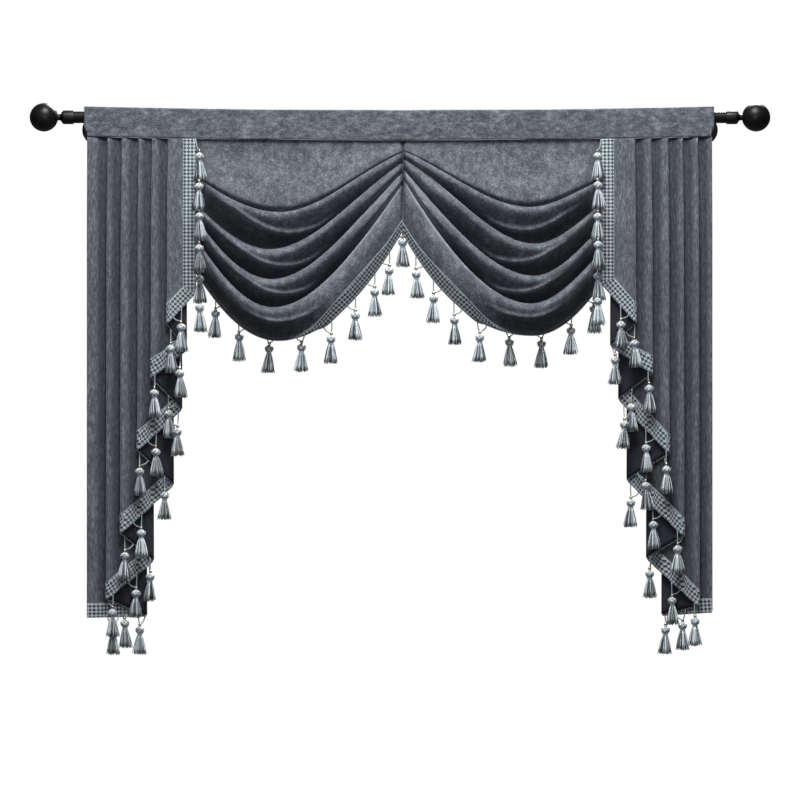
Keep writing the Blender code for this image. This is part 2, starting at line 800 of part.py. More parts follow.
def blocks_of(tassel):
    """Upright blocks about a tassel's head and about its skirt, each as its middle and its halves."""
    x, y, z = tassel.bead
    waist = z - HEAD_LONG
    head = BEAD_TALL + HEAD_LONG
    skirt = tassel.long - HEAD_LONG
    return (
        ((x, y, waist + head / 2), (HEAD_HALF, HEAD_HALF, head / 2)),
        ((x, y, waist - skirt / 2), (SKIRT_WIDE * math.cos(math.radians(30)), SKIRT_DEEP, skirt / 2)),
    )


def cord_points(tassel):
    """Places along a tassel's cords, short of the bead that they end in."""
    bead = np.array(tassel.bead)
    shares = np.linspace(0, CORD_END, 8)[:, None]
    return np.concatenate([np.array(foot) * (1 - shares) + bead * shares for foot in tassel.feet])


def apart(one, other):
    """Whether two tassels clear each other, their cords included."""
    for first in blocks_of(one):
        for second in blocks_of(other):
            gaps = np.abs(np.subtract(first[0], second[0])) - np.add(first[1], second[1])
            if gaps.max() < MM:
                return False
    for cords, whole in ((one, other), (other, one)):
        for middle, halves in blocks_of(whole):
            gaps = np.abs(cord_points(cords) - middle) - halves
            if (gaps.max(axis=1) < CORD_WIDE).any():
                return False
    return True


def swag_fringe(side, grid, braid_row, cloth, hung, material):
    """The braid along a swag's hem. Its tassels are spaced evenly along the hem from the middle seam."""
    normal = sheet_normals(grid)
    near = grid + normal * BRAID_LIFT
    off = grid + normal * (BRAID_LIFT + BRAID_THICK)
    columns = np.arange(grid.shape[1])
    hem = grid[-1]
    length = np.concatenate([[0], np.cumsum(np.linalg.norm(np.diff(hem, axis=0), axis=1))])
    last = HEM_BRAID_END * (len(columns) - 1)

    def place(column, layer):
        low = min(int(column), len(columns) - 2)
        share = column - low
        section = layer[:, low] * (1 - share) + layer[:, low + 1] * share
        rows = section[: braid_row - 1 : -1].copy()
        rows[0] += BRAID_DROP * (rows[0] - rows[1]) / np.linalg.norm(rows[0] - rows[1])
        return rows

    def column_at(distance):
        return float(np.interp(distance, length, columns))

    end_length = float(np.interp(last, columns, length))
    spots = []
    at = TASSEL_FIRST_SWAG[side]
    while at < end_length - CORD_SPREAD:
        spots.append(at)
        at += TASSEL_PITCH_SWAG
    half = CORD_WIDE / 2
    spread = CORD_SPREAD
    marks = {}
    for spot in spots:
        for foot in (-1, 1):
            marks[spot + foot * spread - half] = spot
            marks[spot + foot * spread + half] = None
    plain = [d for d in length if d < end_length - half]
    plain = [d for d in plain if min(abs(d - m) for m in marks) > 2 * half]
    start = SWAG_SEAM_GAP
    stops = sorted({start, *marks, *[d for d in plain if d > start + half], end_length})
    fringe = Fringe()
    feet = {}
    for stop in stops:
        column = column_at(stop)
        number = fringe.add(place(column, near), place(column, off))
        if marks.get(stop) is not None:
            fringe.feet[number] = True
            feet.setdefault(marks[stop], []).append(number)
    middle = (near + off) / 2
    for spot in spots:
        edge = place(column_at(spot), middle)
        along = place(column_at(spot + half), near)[0] - place(column_at(spot - half), near)[0]
        if spot < TASSEL_PITCH_SWAG / 2:
            along = np.array([1.0, 0.0, 0.0])
        roots = [place(column_at(spot + foot * spread), middle)[0] for foot in (-1, 1)]
        for forward in FORWARD_STEPS:
            tassel = tassel_at(edge[0], edge[1] - edge[0], along, spread, roots, cloth, forward * MM)
            if all(apart(tassel, other) for other in hung):
                break
        hung.append(tassel)
        fringe.tassels.append((tassel.bead, tassel.long, feet[spot]))
    fringe_body(f"fringe_swag_{side}", fringe, material)


class TailEdge:
    """The path of a tail's braid: down the inner edge, then along the stepped hem, by distance."""

    def __init__(self, tail):
        self.tail = tail
        top = float(band_bottom(tail.out[0])) - FIT - MM
        self.top = top
        runs = np.concatenate([[0, 0], tail.run[1:]])
        edge = np.concatenate([[top, tail.hem[0]], tail.hem[1:]])
        steps = np.hypot(np.diff(runs), np.diff(edge))
        self.distance = np.concatenate([[0], np.cumsum(steps)])
        self.runs, self.edge = runs, edge
        self.corner = self.distance[1]
        self.zones = np.concatenate([[UPRIGHT, 0], tail.zone[1:]])
        self.turn_z = float(tail.hem_at(BRAID_WIDE)) + self.upward(BRAID_WIDE)

    def upward(self, run):
        """The braid's upright height where the hem slopes, from the hem's slope about that place."""
        low, high = max(run - BRAID_WIDE, 0), min(run + BRAID_WIDE, self.tail.run[-1])
        slope = (self.tail.hem_at(high) - self.tail.hem_at(low)) / (high - low)
        return float(BRAID_WIDE * math.sqrt(1 + slope * slope))

    def station(self, distance):
        """The outer and inner (run, z) of the braid at a distance along the edge."""
        run = float(np.interp(distance, self.distance, self.runs))
        z = float(np.interp(distance, self.distance, self.edge))
        if distance < self.corner and z > self.turn_z:
            return (run, z), (BRAID_WIDE, z)
        drop = BRAID_DROP * min(1.0, run / DROP_EASE)
        if run < BRAID_WIDE:
            return (run, z - drop), (BRAID_WIDE, self.turn_z)
        return (run, z - drop), (run, z + self.upward(run))

    def layer_of(self, distance):
        """Which flat layer of cloth lies at a distance, UPRIGHT on the inner edge, or None in a fold."""
        index = int(np.searchsorted(self.distance, distance))
        index = min(max(index, 1), len(self.distance) - 1)
        pair = {int(self.zones[index - 1]), int(self.zones[index])}
        if index == 1:
            return UPRIGHT
        return pair.pop() if len(pair) == 1 and -1 not in pair else None

    def point(self, run, z, lift):
        column = np.array(self.tail.column_at(run))
        return self.tail.between(column, np.array(z), lift)


def tail_tassel(edge, spot, cloth, forward):
    """A tassel at a distance along a tail's edge, with its feet's distances, or None across a fold."""
    on_edge = spot < edge.corner
    spread = 0.0 if on_edge else CORD_SPREAD
    reach = spread + CORD_WIDE
    layers = {edge.layer_of(spot + step) for step in np.linspace(-reach, reach, 9)}
    if len(layers) > 1 or None in layers:
        return None
    lift = BRAID_LIFT + BRAID_THICK / 2
    outer, inner = edge.station(spot)
    rim = edge.point(*outer, lift)
    ahead = [edge.point(*edge.station(spot + step)[0], lift) for step in (MM, -MM)]
    feet = [spot] if on_edge else [spot - spread, spot + spread]
    roots = [edge.point(*edge.station(foot)[0], lift) for foot in feet]
    inward = edge.point(*inner, lift) - rim
    return tassel_at(rim, inward, ahead[0] - ahead[1], spread, roots, cloth, forward), feet


def tail_fringe(tail, cloth, hung, material):
    """The braid down a tail's inner edge and along its stepped hem, with evenly spaced tassels."""
    edge = TailEdge(tail)
    end = edge.distance[-1] - 0.5 * MM
    half = CORD_WIDE / 2
    made = []
    at = TASSEL_FIRST_TAIL
    while at < end - LAST_SPOT:
        tries = ((forward, shift) for forward in FORWARD_STEPS for shift in SHIFT_STEPS)
        for forward, shift in tries:
            found = tail_tassel(edge, at + shift * MM, cloth, forward * MM)
            if found and all(apart(found[0], other) for other in hung):
                hung.append(found[0])
                made.append(found)
                break
        at += TASSEL_PITCH_TAIL
    marks = {}
    for number, (_, feet) in enumerate(made):
        for foot in feet:
            marks[foot - half] = number
            marks[foot + half] = None
    turn_at = float(edge.corner - (edge.turn_z - tail.hem[0]))
    levels = [edge.top - level for level in LEVELS[1:3]]
    inner_turn = float(np.interp(BRAID_WIDE, edge.runs[1:], edge.distance[1:]))
    plain = [0.0, *levels, turn_at, inner_turn, *edge.distance[1:-1], end]
    plain = [d for d in plain if min(abs(d - m) for m in marks) > 1.5 * half]
    fringe = Fringe()
    feet = [[] for _ in made]
    low, high = BRAID_LIFT, BRAID_LIFT + BRAID_THICK
    for stop in sorted({*marks, *plain}):
        outer, inner = edge.station(stop)
        rows = [[edge.point(*place, lift) for place in (outer, inner)] for lift in (low, high)]
        number = fringe.add(np.array(rows[0]), np.array(rows[1]))
        if marks.get(stop) is not None:
            fringe.feet[number] = True
            feet[marks[stop]].append(number)
    for (tassel, _), roots in zip(made, feet):
        fringe.tassels.append((tassel.bead, tassel.long, roots))
    fringe_body(f"fringe_tail_{tail.side}", fringe, material)


def main():
    clear_scene()
    root = bpy.data.objects.new("valance", None)
    bpy.context.scene.collection.objects.link(root)
    metal = new_material("black_satin_metal", (0.012, 0.012, 0.013), 0.35, 0.6)
    cloth = new_material("slate_chenille", (0.095, 0.112, 0.135), 0.85)
    band = new_material("slate_chenille_band", (0.095, 0.112, 0.135), 0.8)
    trim = new_material("silver_braid", (0.36, 0.39, 0.42), 0.7)

    rod(metal)
    heading_band(band)
    for side in SIDES:
        finial(side, metal)
        bracket(side, metal)
        grid = swag(side, cloth)
        tail = Tail(side)
        samples = tail_cloth(tail, cloth)
        around = np.concatenate([samples, grid.reshape(-1, 3)])
        hung = []
        tail_fringe(tail, around, hung, trim)
        swag_fringe(side, grid, swag_grid(side)[1], samples, hung, trim)


main()
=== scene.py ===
"""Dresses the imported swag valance: folded cloth, woven braid, tassels and turned rod fittings.

Each piece is a surface of two parameters worked out as whole arrays, in metres, in the frame of
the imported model: +Z up, +X to the right along the rod, and the wall at y = 0 behind the rod.
"""

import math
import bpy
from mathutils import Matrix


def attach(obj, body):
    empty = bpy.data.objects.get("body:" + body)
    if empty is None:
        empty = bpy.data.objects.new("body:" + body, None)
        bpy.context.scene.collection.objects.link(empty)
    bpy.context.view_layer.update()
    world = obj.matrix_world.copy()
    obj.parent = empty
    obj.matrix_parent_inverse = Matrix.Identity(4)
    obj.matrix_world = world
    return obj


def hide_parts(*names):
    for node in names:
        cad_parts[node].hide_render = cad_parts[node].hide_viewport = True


bl_info = {
    "name": "Swag Valance Dressing",
    "version": (1, 0, 0),
    "blender": (4, 5, 0),
    "location": "View3D > Sidebar > Valance",
    "description": "Hangs detailed swags, tails, braid and tassels on the packed curtain rod",
    "category": "Object",
}

from typing import NamedTuple

import bpy
import numpy as np
from mathutils import Vector

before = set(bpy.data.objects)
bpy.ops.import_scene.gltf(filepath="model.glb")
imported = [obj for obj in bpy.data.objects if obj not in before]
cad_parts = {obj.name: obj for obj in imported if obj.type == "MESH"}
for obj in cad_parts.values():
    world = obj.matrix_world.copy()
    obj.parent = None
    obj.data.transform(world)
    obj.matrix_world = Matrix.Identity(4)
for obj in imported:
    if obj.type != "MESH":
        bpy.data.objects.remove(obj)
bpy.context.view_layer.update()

MM = 0.001
SIDES = {"left": -1, "right": 1}

# Studio, with each lamp's name, place, size and share of the key power
FLOOR_HALF = 12.0
AIM = (0.0, -0.1, -0.55)
LAMPS = (
    ("key", (0.0, -2.3, 3.4), 2.2, 1.0),
    ("front", (0.0, -4.6, 0.2), 1.6, 0.11),
    ("back", (0.9, 3.4, 2.6), 2.0, 1.2),
)

# Rod and its fittings. POLE is the tiny radius that closes the end of a turned piece, and edges
# sharper than CRISP are left sharp.
ROD_Y = -80 * MM
BRACKET_X = 725 * MM
PLATE_Z = -27 * MM
COLLAR_RADIUS = 16.5 * MM
NECK_RADIUS = 7.5 * MM
POLE = 0.2 * MM
CRISP = math.radians(40)

# Heading band: (y from the rod's axis, z, share of the sag that reaches it), in millimetres
BAND_SECTION = (
    (-20.8, -45.5, 1.0),
    (-20.8, 0.0, 1.0),
    (-20.8, 20.0, 1.0),
    (-20.2, 23.2, 1.0),
    (-19.0, 24.0, 1.0),
    (-17.8, 23.2, 1.0),
    (-17.2, 20.0, 1.0),
    (-15.0, 16.2, 0.8),
    (-8.1, 14.1, 0.0),
    (0.0, 16.2, 0.0),
    (8.1, 14.0, 0.0),
    (14.0, 8.1, 0.0),
    (16.2, 0.0, 0.0),
    (14.8, -8.5, 0.0),
    (9.0, -20.0, 0.4),
    (-2.0, -33.0, 0.8),
    (-11.0, -42.0, 1.0),
    (-14.6, -45.5, 1.0),
)
BAND_LEFT = -752 * MM
BAND_RIGHT = 748 * MM
BAND_SAG = 8 * MM
BAND_BOTTOM = -46.5 * MM
BAND_CORNER = 8 * MM
CORNER_TOP = -20 * MM
CORNER_TALL = 25 * MM
NOTCH_NEAR = 700 * MM
NOTCH_FRONT = -15.5 * MM
BAND_WAVE = 0.7 * MM
BAND_DIP = 0.6 * MM
FIT = 0.3 * MM

# Swags: the middle seam, the depth of the folds, and the lesser folds. RIDGE_NEAR and RIDGE_FAR
# are how far in millimetres a lesser fold reaches past its ends, and over what length it fades.
SEAM_X = 7 * MM
SEAM_GAP = 0.7 * MM
TAPE_HALF = 6 * MM
TAPE_Y = -88 * MM
TAPE_THICK = 1.0 * MM
SWAG_TOP_Y = -95 * MM
SWAG_BELLY = 26 * MM
FOLD_DEPTH = 0.56
FOLD_SKEW = 0.40
SEAM_SKEW = 0.85
GATHER = (30 * MM, 130 * MM)
FIRST_START = 0.16
BRAID_TAPER = (0.42, 120 * MM)
RIDGE_WIDE = 0.07
RIDGE_HIGH = 0.22
HEM_RIDGE_HIGH = 0.16
RIDGE_NEAR = (50, 80)
RIDGE_FAR = (60, 90)
HEM_SWEEP = (0.78, 0.94)
HEM_BEAD = 4 * MM
VALLEY_RISE = 3 * MM
PANEL_SWELL = 0.80
PANEL_DIP = 0.36
DIP_START = 0.92
DIP_SPAN = 0.08

# Painted shade on the swags, mixed into the cloth's colour: how much it rises, from what share of the way
# down a fold, and over what share
SHADE = 0.84
PANEL_SHADE = (0.13, 0.12)
SHADE_RISES = ((0.55, 0.14, 0.18), (0.45, 0.42, 0.36))
SEAM_RISE = (0.75, 0.74, 0.22)
RIDGE_LIGHT = 0.85
VALLEY_SHADE = (0.25, 0.6, 0.6, 0.6)
VALLEY_FADE = 0.09
TUCK_LIGHT = 0.35

# The swags' ends, and their hems, which are tucked under
SEAM_EASE = 60 * MM
SEAM_FULLNESS = 0.85
SEAM_TURN = 7 * MM
SIDE_EASE = 42 * MM
SIDE_FLAT = 12 * MM
SIDE_FULLNESS = 0.06
BELLY_START = 1.1
TUCK_START = 0.26
TUCK_EASE = 0.34
TUCK_RADIUS = 4 * MM
TUCK_TURN = 1.35
TURN_SHARE = 0.5
TUCK_FACE = 14 * MM
HEM_BRAID_END = 0.955
CREASE_EASE = 60

# Tails
LEVELS = (-47 * MM, -120 * MM, -250 * MM, -1190 * MM)
TAIL_FRONT = (-99 * MM, -107 * MM, -116 * MM, -119 * MM)
TAIL_PITCH = (3.6 * MM, 5.0 * MM, 8.4 * MM, 12.0 * MM)
FOLD_REACH = 6 * MM
FOLD_EASE = 32 * MM
FOLD_BULGE = 0.42
FOLD_RUN = 10 * MM
FRONT_SHIFTS = (-30 * MM, -10 * MM, 10 * MM, 30 * MM)
SWAY = 1.6 * MM
OWN_SWAY = 0.5 * MM
# Painted shade on the tails where layers of the pleats lie behind others
TAIL_SHADE = 0.70

# Braid and tassels. Each lift is the height above the cloth's face.
BRAID_LIFT = 0.7 * MM
CORD_LIFT = 1.3 * MM
HEM_LIFT = 1.6 * MM
LEVEL_NEAR = 5
BRAID_ROWS = 13
BRAID_DROP = 3 * MM
DROP_EASE = 4 * MM
CORD_OUT = 9.5 * MM
CORD_DROP = (18 * MM, 36 * MM)
CORD_SPREAD = 13 * MM
CORD_SIDE = 19 * MM
EDGE_CORD = 26 * MM
TASSEL_LONG = 73 * MM
TASSEL_CLEAR = 2.4 * MM
HEAD_LONG = 24 * MM
FORWARD_STEPS = range(0, 25, 3)
CORD_LEAVES = (0.30, 0.30, 0.85)
CUSHION = 0.35 * MM
BEAD_FLAT = 0.86

# A tassel's head and collar, as (z from the bead, radius), in millimetres
HEAD_PROFILE = ((-3.2, 0.4), (-3.2, 2.6), (-6.5, 6.2), (-9.5, 10.4), (-16.0, 10.5), (-20.5, 7.0))
HEAD_PROFILE += ((-22.4, 5.0), (-23.0, 0.4))
COLLAR_PROFILE = ((-21.5, 0.4), (-21.8, 5.3), (-22.6, 6.1), (-24.6, 6.1), (-25.6, 5.3), (-26.0, 0.4))
HEAD_SIDES = 22
SKIRT_TOP = 22.5 * MM
SKIRT_WAIST = 5.0 * MM
SPIRAL_TURN = 2.39996
STRAND_ROWS = 5
STRAND_SIDES = 4
STRAND_TINTS = (0.02, 0.32, 0.56, 0.80, 1.0)
TINT_SHARES = (0.26, 0.17, 0.22, 0.20, 0.15)


class Crest(NamedTuple):
    """A line across a swag, in millimetres and slopes, from the middle seam out to the side."""

    seam_z: float
    low_x: float
    low_z: float
    side_z: float
    seam_slope: float
    side_slope: float


class Minor(NamedTuple):
    """A lesser fold between two crests: where it starts and ends, and how far down between them."""

    near_x: float
    near_share: float
    far_x: float
    far_share: float


class Pleat(NamedTuple):
    """A fold line of a tail, in millimetres: how far from the middle it lies, and the hem there."""

    out: float
    hem_z: float


SWAG_WIDE = {"left": 506, "right": 485}
CRESTS = {
    "left": (
        Crest(-86, 293, -231, -136, 0.85, 1.7),
        Crest(-110, 317, -319, -198, 1.0, 1.65),
        Crest(-133, 312, -390, -224, 1.2, 1.8),
        Crest(-162, 309, -457, -271, 1.5, 1.7),
        Crest(-264, 298, -529, -341, 2.0, 1.95),
    ),
    "right": (
        Crest(-83, 300, -219, -148, 0.9, 1.1),
        Crest(-102, 314, -306, -200, 0.8, 1.28),
        Crest(-126, 312, -382, -254, 1.4, 1.3),
        Crest(-150, 305, -448, -310, 1.7, 1.4),
        Crest(-274, 309, -517, -371, 2.3, 1.9),
    ),
}
MINORS = {
    "left": (
        Minor(200, 0.84, 400, 0.20),
        Minor(220, 0.82, 385, 0.26),
        Minor(230, 0.74, 370, 0.26),
        Minor(225, 0.52, 345, 0.42),
    ),
    "right": (
        Minor(225, 0.76, 385, 0.46),
        Minor(215, 0.88, 350, 0.32),
        Minor(225, 0.84, 345, 0.36),
        Minor(235, 0.50, 340, 0.44),
    ),
}
TAILS = {
    "left": (
        Pleat(486, -417),
        Pleat(550, -490),
        Pleat(512, -552),
        Pleat(588, -617),
        Pleat(524, -693),
        Pleat(620, -790),
        Pleat(545, -874),
        Pleat(660, -988),
        Pleat(593, -1055),
        Pleat(694, -1145),
        Pleat(610, -1188),
        Pleat(745, -1188),
    ),
    "right": (
        Pleat(479, -395),
        Pleat(557, -488),
        Pleat(505, -543),
        Pleat(596, -607),
        Pleat(525, -669),
        Pleat(636, -798),
        Pleat(546, -862),
        Pleat(671, -995),
        Pleat(593, -1049),
        Pleat(707, -1162),
        Pleat(630, -1186),
        Pleat(743, -1176),
    ),
}
# Beads along a swag's hem, in millimetres from the seam, and down a tail's inner edge, as heights.
# Beads along a tail's hem are given as pleat and share of the layer.
SWAG_TASSELS = {
    "left": (1, 32, 67, 113, 170, 241, 318, 390, 446),
    "right": (31, 73, 122, 183, 253, 330, 401, 455),
}
EDGE_TASSELS = {
    "left": (-82, -154, -225, -301, -373, -442),
    "right": (-81, -151, -226, -293, -367, -426),
}
HEM_TASSELS = {
    "left": (0.5, 1.2, 2.2, 2.92, 3.56, 4.1, 4.6, 5.08, 5.76)
    + (6.62, 7.15, 7.92, 8.38, 8.88, 9.46, 9.84, 10.57),
    "right": (0.56, 1.08, 1.8, 2.93, 3.62, 4.12, 4.56, 4.95, 5.56)
    + (6.08, 6.47, 6.9, 7.92, 8.5, 8.93, 9.45, 9.9),
}


def number_of(name, default, description, least=0.0, unit="NONE"):
    return bpy.props.FloatProperty(
        name=name, description=description, default=default, min=least, unit=unit
    )


def length_of(name, default, description, least=0.0):
    return number_of(name, default, description, least, "LENGTH")


def count_of(name, default, description, least):
    return bpy.props.IntProperty(name=name, description=description, default=default, min=least)


def colour_of(name, default, description):
    return bpy.props.FloatVectorProperty(
        name=name, description=description, default=default, subtype="COLOR", min=0.0, max=1.0
    )


class FittingSettings(bpy.types.PropertyGroup):
    """Sizes and finish of the rod and its fittings."""

    rod_radius: length_of("Rod radius", 14 * MM, "Radius of the rod")
    rod_half: length_of("Rod half length", 800 * MM, "Half of the rod's length between its finials")
    ball_radius: length_of("Ball radius", 34 * MM, "Radius of each finial's ball")
    ball_centre: length_of("Ball centre", 849 * MM, "Distance of each ball's centre from the middle")
    collar_start: length_of("Collar start", 778 * MM, "Where each finial's collar begins on the rod")
    collar_end: length_of("Collar end", 809 * MM, "Where each finial's collar ends")
    plate_radius: length_of("Plate radius", 36.5 * MM, "Radius of each wall plate")
    stem_radius: length_of("Stem radius", 6.5 * MM, "Radius of each bracket's stem")
    metal: colour_of("Metal", (0.004, 0.004, 0.0045), "Colour of the satin black metal")
    steps: count_of("Steps", 64, "Sides of a turned piece", 12)


class ClothSettings(bpy.types.PropertyGroup):
    """Sizes and finish of the cloth."""

    thick: length_of("Thickness", 1.8 * MM, "Thickness of the swags' and tails' cloth")
    band_thick: length_of("Band thickness", 2.0 * MM, "Thickness of the heading band's lined cloth")
    crease: length_of("Crease depth", 1.1 * MM, "Depth of the small creases along the folds")
    swag_columns: count_of("Swag columns", 132, "Sections across a swag", 20)
    fold_rows: count_of("Fold rows", 36, "Rows down each fold of a swag", 8)
    tail_step: length_of("Tail step", 4.5 * MM, "Width of a tail's mesh cells")
    tail_rows: count_of("Tail rows", 80, "Rows down a tail", 10)
    dark: colour_of("Dark flecks", (0.030, 0.034, 0.043), "Colour of the cloth's dark flecks")
    mid: colour_of("Ground", (0.066, 0.074, 0.088), "Colour of the cloth's ground")
    light: colour_of("Light flecks", (0.155, 0.170, 0.192), "Colour of the cloth's light flecks")
    # The cloth's dark wrong side, whose colour is also mixed into the face as painted shade
    wrong: colour_of("Wrong side", (0.014, 0.0145, 0.020), "Colour of the cloth's wrong side")


class TrimSettings(bpy.types.PropertyGroup):
    """Sizes and finish of the braid and its tassels."""

    braid_wide: length_of("Braid width", 30 * MM, "Width of the woven braid")
    braid_thick: length_of("Braid thickness", 1.2 * MM, "Thickness of the woven braid")
    braid_step: length_of("Braid step", 2.2 * MM, "Length of the braid's mesh cells")
    braid_cell: length_of("Braid cell", 6.2 * MM, "Side of a square of the braid's weave")
    piping_radius: length_of("Piping radius", 1.1 * MM, "Radius of the twisted piping along the braid")
    cord_radius: length_of("Cord radius", 1.5 * MM, "Radius of the cords that carry the tassels")
    bead_radius: length_of("Bead radius", 4.2 * MM, "Radius of the gold beads")
    skirt_wide: length_of("Skirt width", 17.5 * MM, "Half of a tassel's width at its tips")
    skirt_deep: length_of("Skirt depth", 11.0 * MM, "Half of a tassel's depth at its tips")
    strand: length_of("Strand width", 1.0 * MM, "Half of a strand's width")
    strands: count_of("Strands", 64, "Strands of each tassel", 6)
    silver: colour_of("Silver", (0.235, 0.28, 0.31), "Colour of the silver yarn")
    white: colour_of("White", (0.58, 0.65, 0.68), "Colour of the white yarn")
    slate: colour_of("Slate", (0.020, 0.027, 0.032), "Colour of the dark yarn")
    gold: colour_of("Gold", (0.50, 0.38, 0.20), "Colour of the beads")


class StudioSettings(bpy.types.PropertyGroup):
    """Camera, floor and light."""

    lens: number_of("Lens", 300.0, "Focal length in millimetres", 10.0)
    view_wide: length_of("View width", 1.905, "Width seen at the valance")
    view_z: length_of("View height", -0.674, "Height of the picture's middle", -10.0)
    floor_z: length_of("Floor height", -2.4, "Height of the floor", -10.0)
    key: number_of("Key power", 475.0, "Power of the key light in watts")
    ambient: number_of("Ambient", 0.07, "Strength of the light all round")
    pale: colour_of("Pale", (0.86, 0.86, 0.86), "Colour of the floor")


def ease(share):
    """The smooth step 3s^2 - 2s^3, from 0 to 1."""
    share = np.clip(share, 0.0, 1.0)
    return share * share * (3 - 2 * share)


def unit(vectors):
    """Each vector over its own length."""
    return vectors / np.maximum(np.linalg.norm(vectors, axis=-1, keepdims=True), 1e-12)


def waves(seed, count, low, high):
    """Random waves for ripple(): directions, frequencies from low to high per metre, and phases."""
    draw = np.random.default_rng(seed)
    turn = draw.uniform(0, math.tau, count)
    often = draw.uniform(low, high, count) * math.tau
    return np.cos(turn) * often, np.sin(turn) * often, draw.uniform(0, math.tau, count)


def ripple(a, b, wave):
    """The mean of sines of k1 a + k2 b + phase over the waves: a smooth unevenness of two parameters."""
    k1, k2, phase = wave
    return np.sin(a[..., None] * k1 + b[..., None] * k2 + phase).mean(axis=-1) * 1.6


def lengths_along(line):
    """The length of a line of points from its start to each of its points."""
    return np.concatenate([[0], np.cumsum(np.linalg.norm(np.diff(line, axis=0), axis=1))])


def grid_cells(rows, columns, wrap=False):
    """Corner numbers of the cells of a grid of points, going round from the last column if wrap."""
    row = np.arange(rows - 1)[:, None]
    column = np.arange(columns if wrap else columns - 1)[None, :]
    after = (column + 1) % columns
    here, below = row * columns, (row + 1) * columns
    corners = (here + column, here + after, below + after, below + column)
    return np.stack(np.broadcast_arrays(*corners), axis=-1).reshape(-1, 4)


def end_caps(rings, sides):
    """The first and the last ring of a shape made of rings, as the two faces that close it."""
    last = (rings - 1) * sides
    return [list(range(sides))[::-1], list(range(last, last + sides))]


def cell_uv(u, v):
    """The corners of a grid's cells in (u, v), in the order of grid_cells. A last v closes a round."""
    corners = ((u[:-1], v[:-1]), (u[:-1], v[1:]), (u[1:], v[1:]), (u[1:], v[:-1]))
    pairs = [np.stack(np.broadcast_arrays(a[:, None], b), axis=-1) for a, b in corners]
    return np.stack(pairs, axis=2).reshape(-1, 2)


def closed_sheet(face, back):
    """The points and cells of a sheet between two grids of points, with a rim of cells around it."""
    rows, columns = face.shape[:2]
    count = rows * columns
    index = np.arange(count).reshape(rows, columns)
    edge = np.concatenate([index[0, :-1], index[:-1, -1], index[-1, :0:-1], index[:0:-1, 0]])
    after = np.roll(edge, -1)
    rim = np.stack([after, edge, edge + count, after + count], axis=1)
    cells = grid_cells(rows, columns)
    faces = np.concatenate([cells, cells[:, ::-1] + count, rim])
    return np.concatenate([face.reshape(-1, 3), back.reshape(-1, 3)]), faces


def shading(face):
    """The tint of a closed sheet's points: the painted shade as given on its face, and 1, the wrong side's
    colour, on its back, its second half.
    """
    return np.concatenate([face.ravel(), np.ones(face.size)])


def sheet_normals(grid, forward=-1):
    """Unit normals of a grid, the cross product of its two gradients, turned to the cloth's face."""
    normal = unit(np.cross(np.gradient(grid, axis=0), np.gradient(grid, axis=1)))
    return normal * (np.sign(normal[..., 1].sum()) * forward)


def signed_volume(points, cells):
    """A sixth of the sum of a . (b x c) over the triangles: positive where the faces point outwards."""
    a, b, c, d = (points[cells[:, i]] for i in range(4))
    return float((a * np.cross(b, c)).sum() + (a * np.cross(c, d)).sum()) / 6


def outward(points, cells, uv, caps):
    """A closed shape whose cells, uv and caps are turned round if its faces point inwards."""
    if signed_volume(points, cells) < 0:
        cells = cells[:, ::-1]
        uv = None if uv is None else uv.reshape(-1, 4, 2)[:, ::-1].reshape(-1, 2)
        caps = [cap[::-1] for cap in caps]
    return points, cells, uv, caps


def make_piece(name, points, cells, material, uv=None, tint=None, caps=()):
    """A mesh object at the origin from point and cell arrays, riding on the frame's one body.

    Cells all have four corners, and caps any number. uv has a pair for each corner of each cell,
    and tint a number for each point: on the cloth, the share of the dark wrong side's colour, which on the
    face is painted shade.
    """
    points, cells, uv, caps = outward(points, cells, uv, caps)
    mesh = bpy.data.meshes.new(name)
    mesh.from_pydata(points.tolist(), [], cells.tolist() + [list(map(int, cap)) for cap in caps])
    if uv is not None:
        layer = mesh.uv_layers.new(name="UVMap")
        flat = np.zeros((len(mesh.loops), 2), np.float32)
        flat[: len(uv)] = uv
        layer.data.foreach_set("uv", flat.ravel())
    if tint is not None:
        attribute = mesh.attributes.new("tint", "FLOAT", "POINT")
        attribute.data.foreach_set("value", np.asarray(tint, np.float32).ravel())
    mesh.materials.append(material)
    mesh.shade_smooth()
    mesh.update()
    thing = bpy.data.objects.new(name, mesh)
    bpy.context.scene.collection.objects.link(thing)
    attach(thing, "root")
    return thing


def tube(path, radius, sides):
    """A round tube along a path: rings of points at right angles to it, closed at both ends.

    The ring's axes come from the cross product of each tangent with one fixed direction.
    Returns the points, the cells, their (length, turn) pairs and the two end caps.
    """
    tangent = unit(np.gradient(path, axis=0))
    across = unit(np.cross(tangent, np.array([0.31, -0.94, 0.12])))
    upward = np.cross(tangent, across)
    turn = np.arange(sides) * (math.tau / sides)
    ring = across[:, None] * np.cos(turn)[:, None] + upward[:, None] * np.sin(turn)[:, None]
    points = path[:, None] + ring * radius
    uv = cell_uv(lengths_along(path), np.linspace(0, 1, sides + 1))
    cells = grid_cells(len(path), sides, True)
    return points.reshape(-1, 3), cells, uv, end_caps(len(path), sides)


def gathered(parts):
    """Joins (points, cells, uv, caps) of several shapes into one set, with the numbers moved along."""
    points, cells, uvs, caps, count = [], [], [], [], 0
    for some, cell, uv, cap in parts:
        points.append(some)
        cells.append(cell + count)
        uvs.append(uv)
        caps += [[i + count for i in face] for face in cap]
        count += len(some)
    return np.concatenate(points), np.concatenate(cells), np.concatenate(uvs), caps


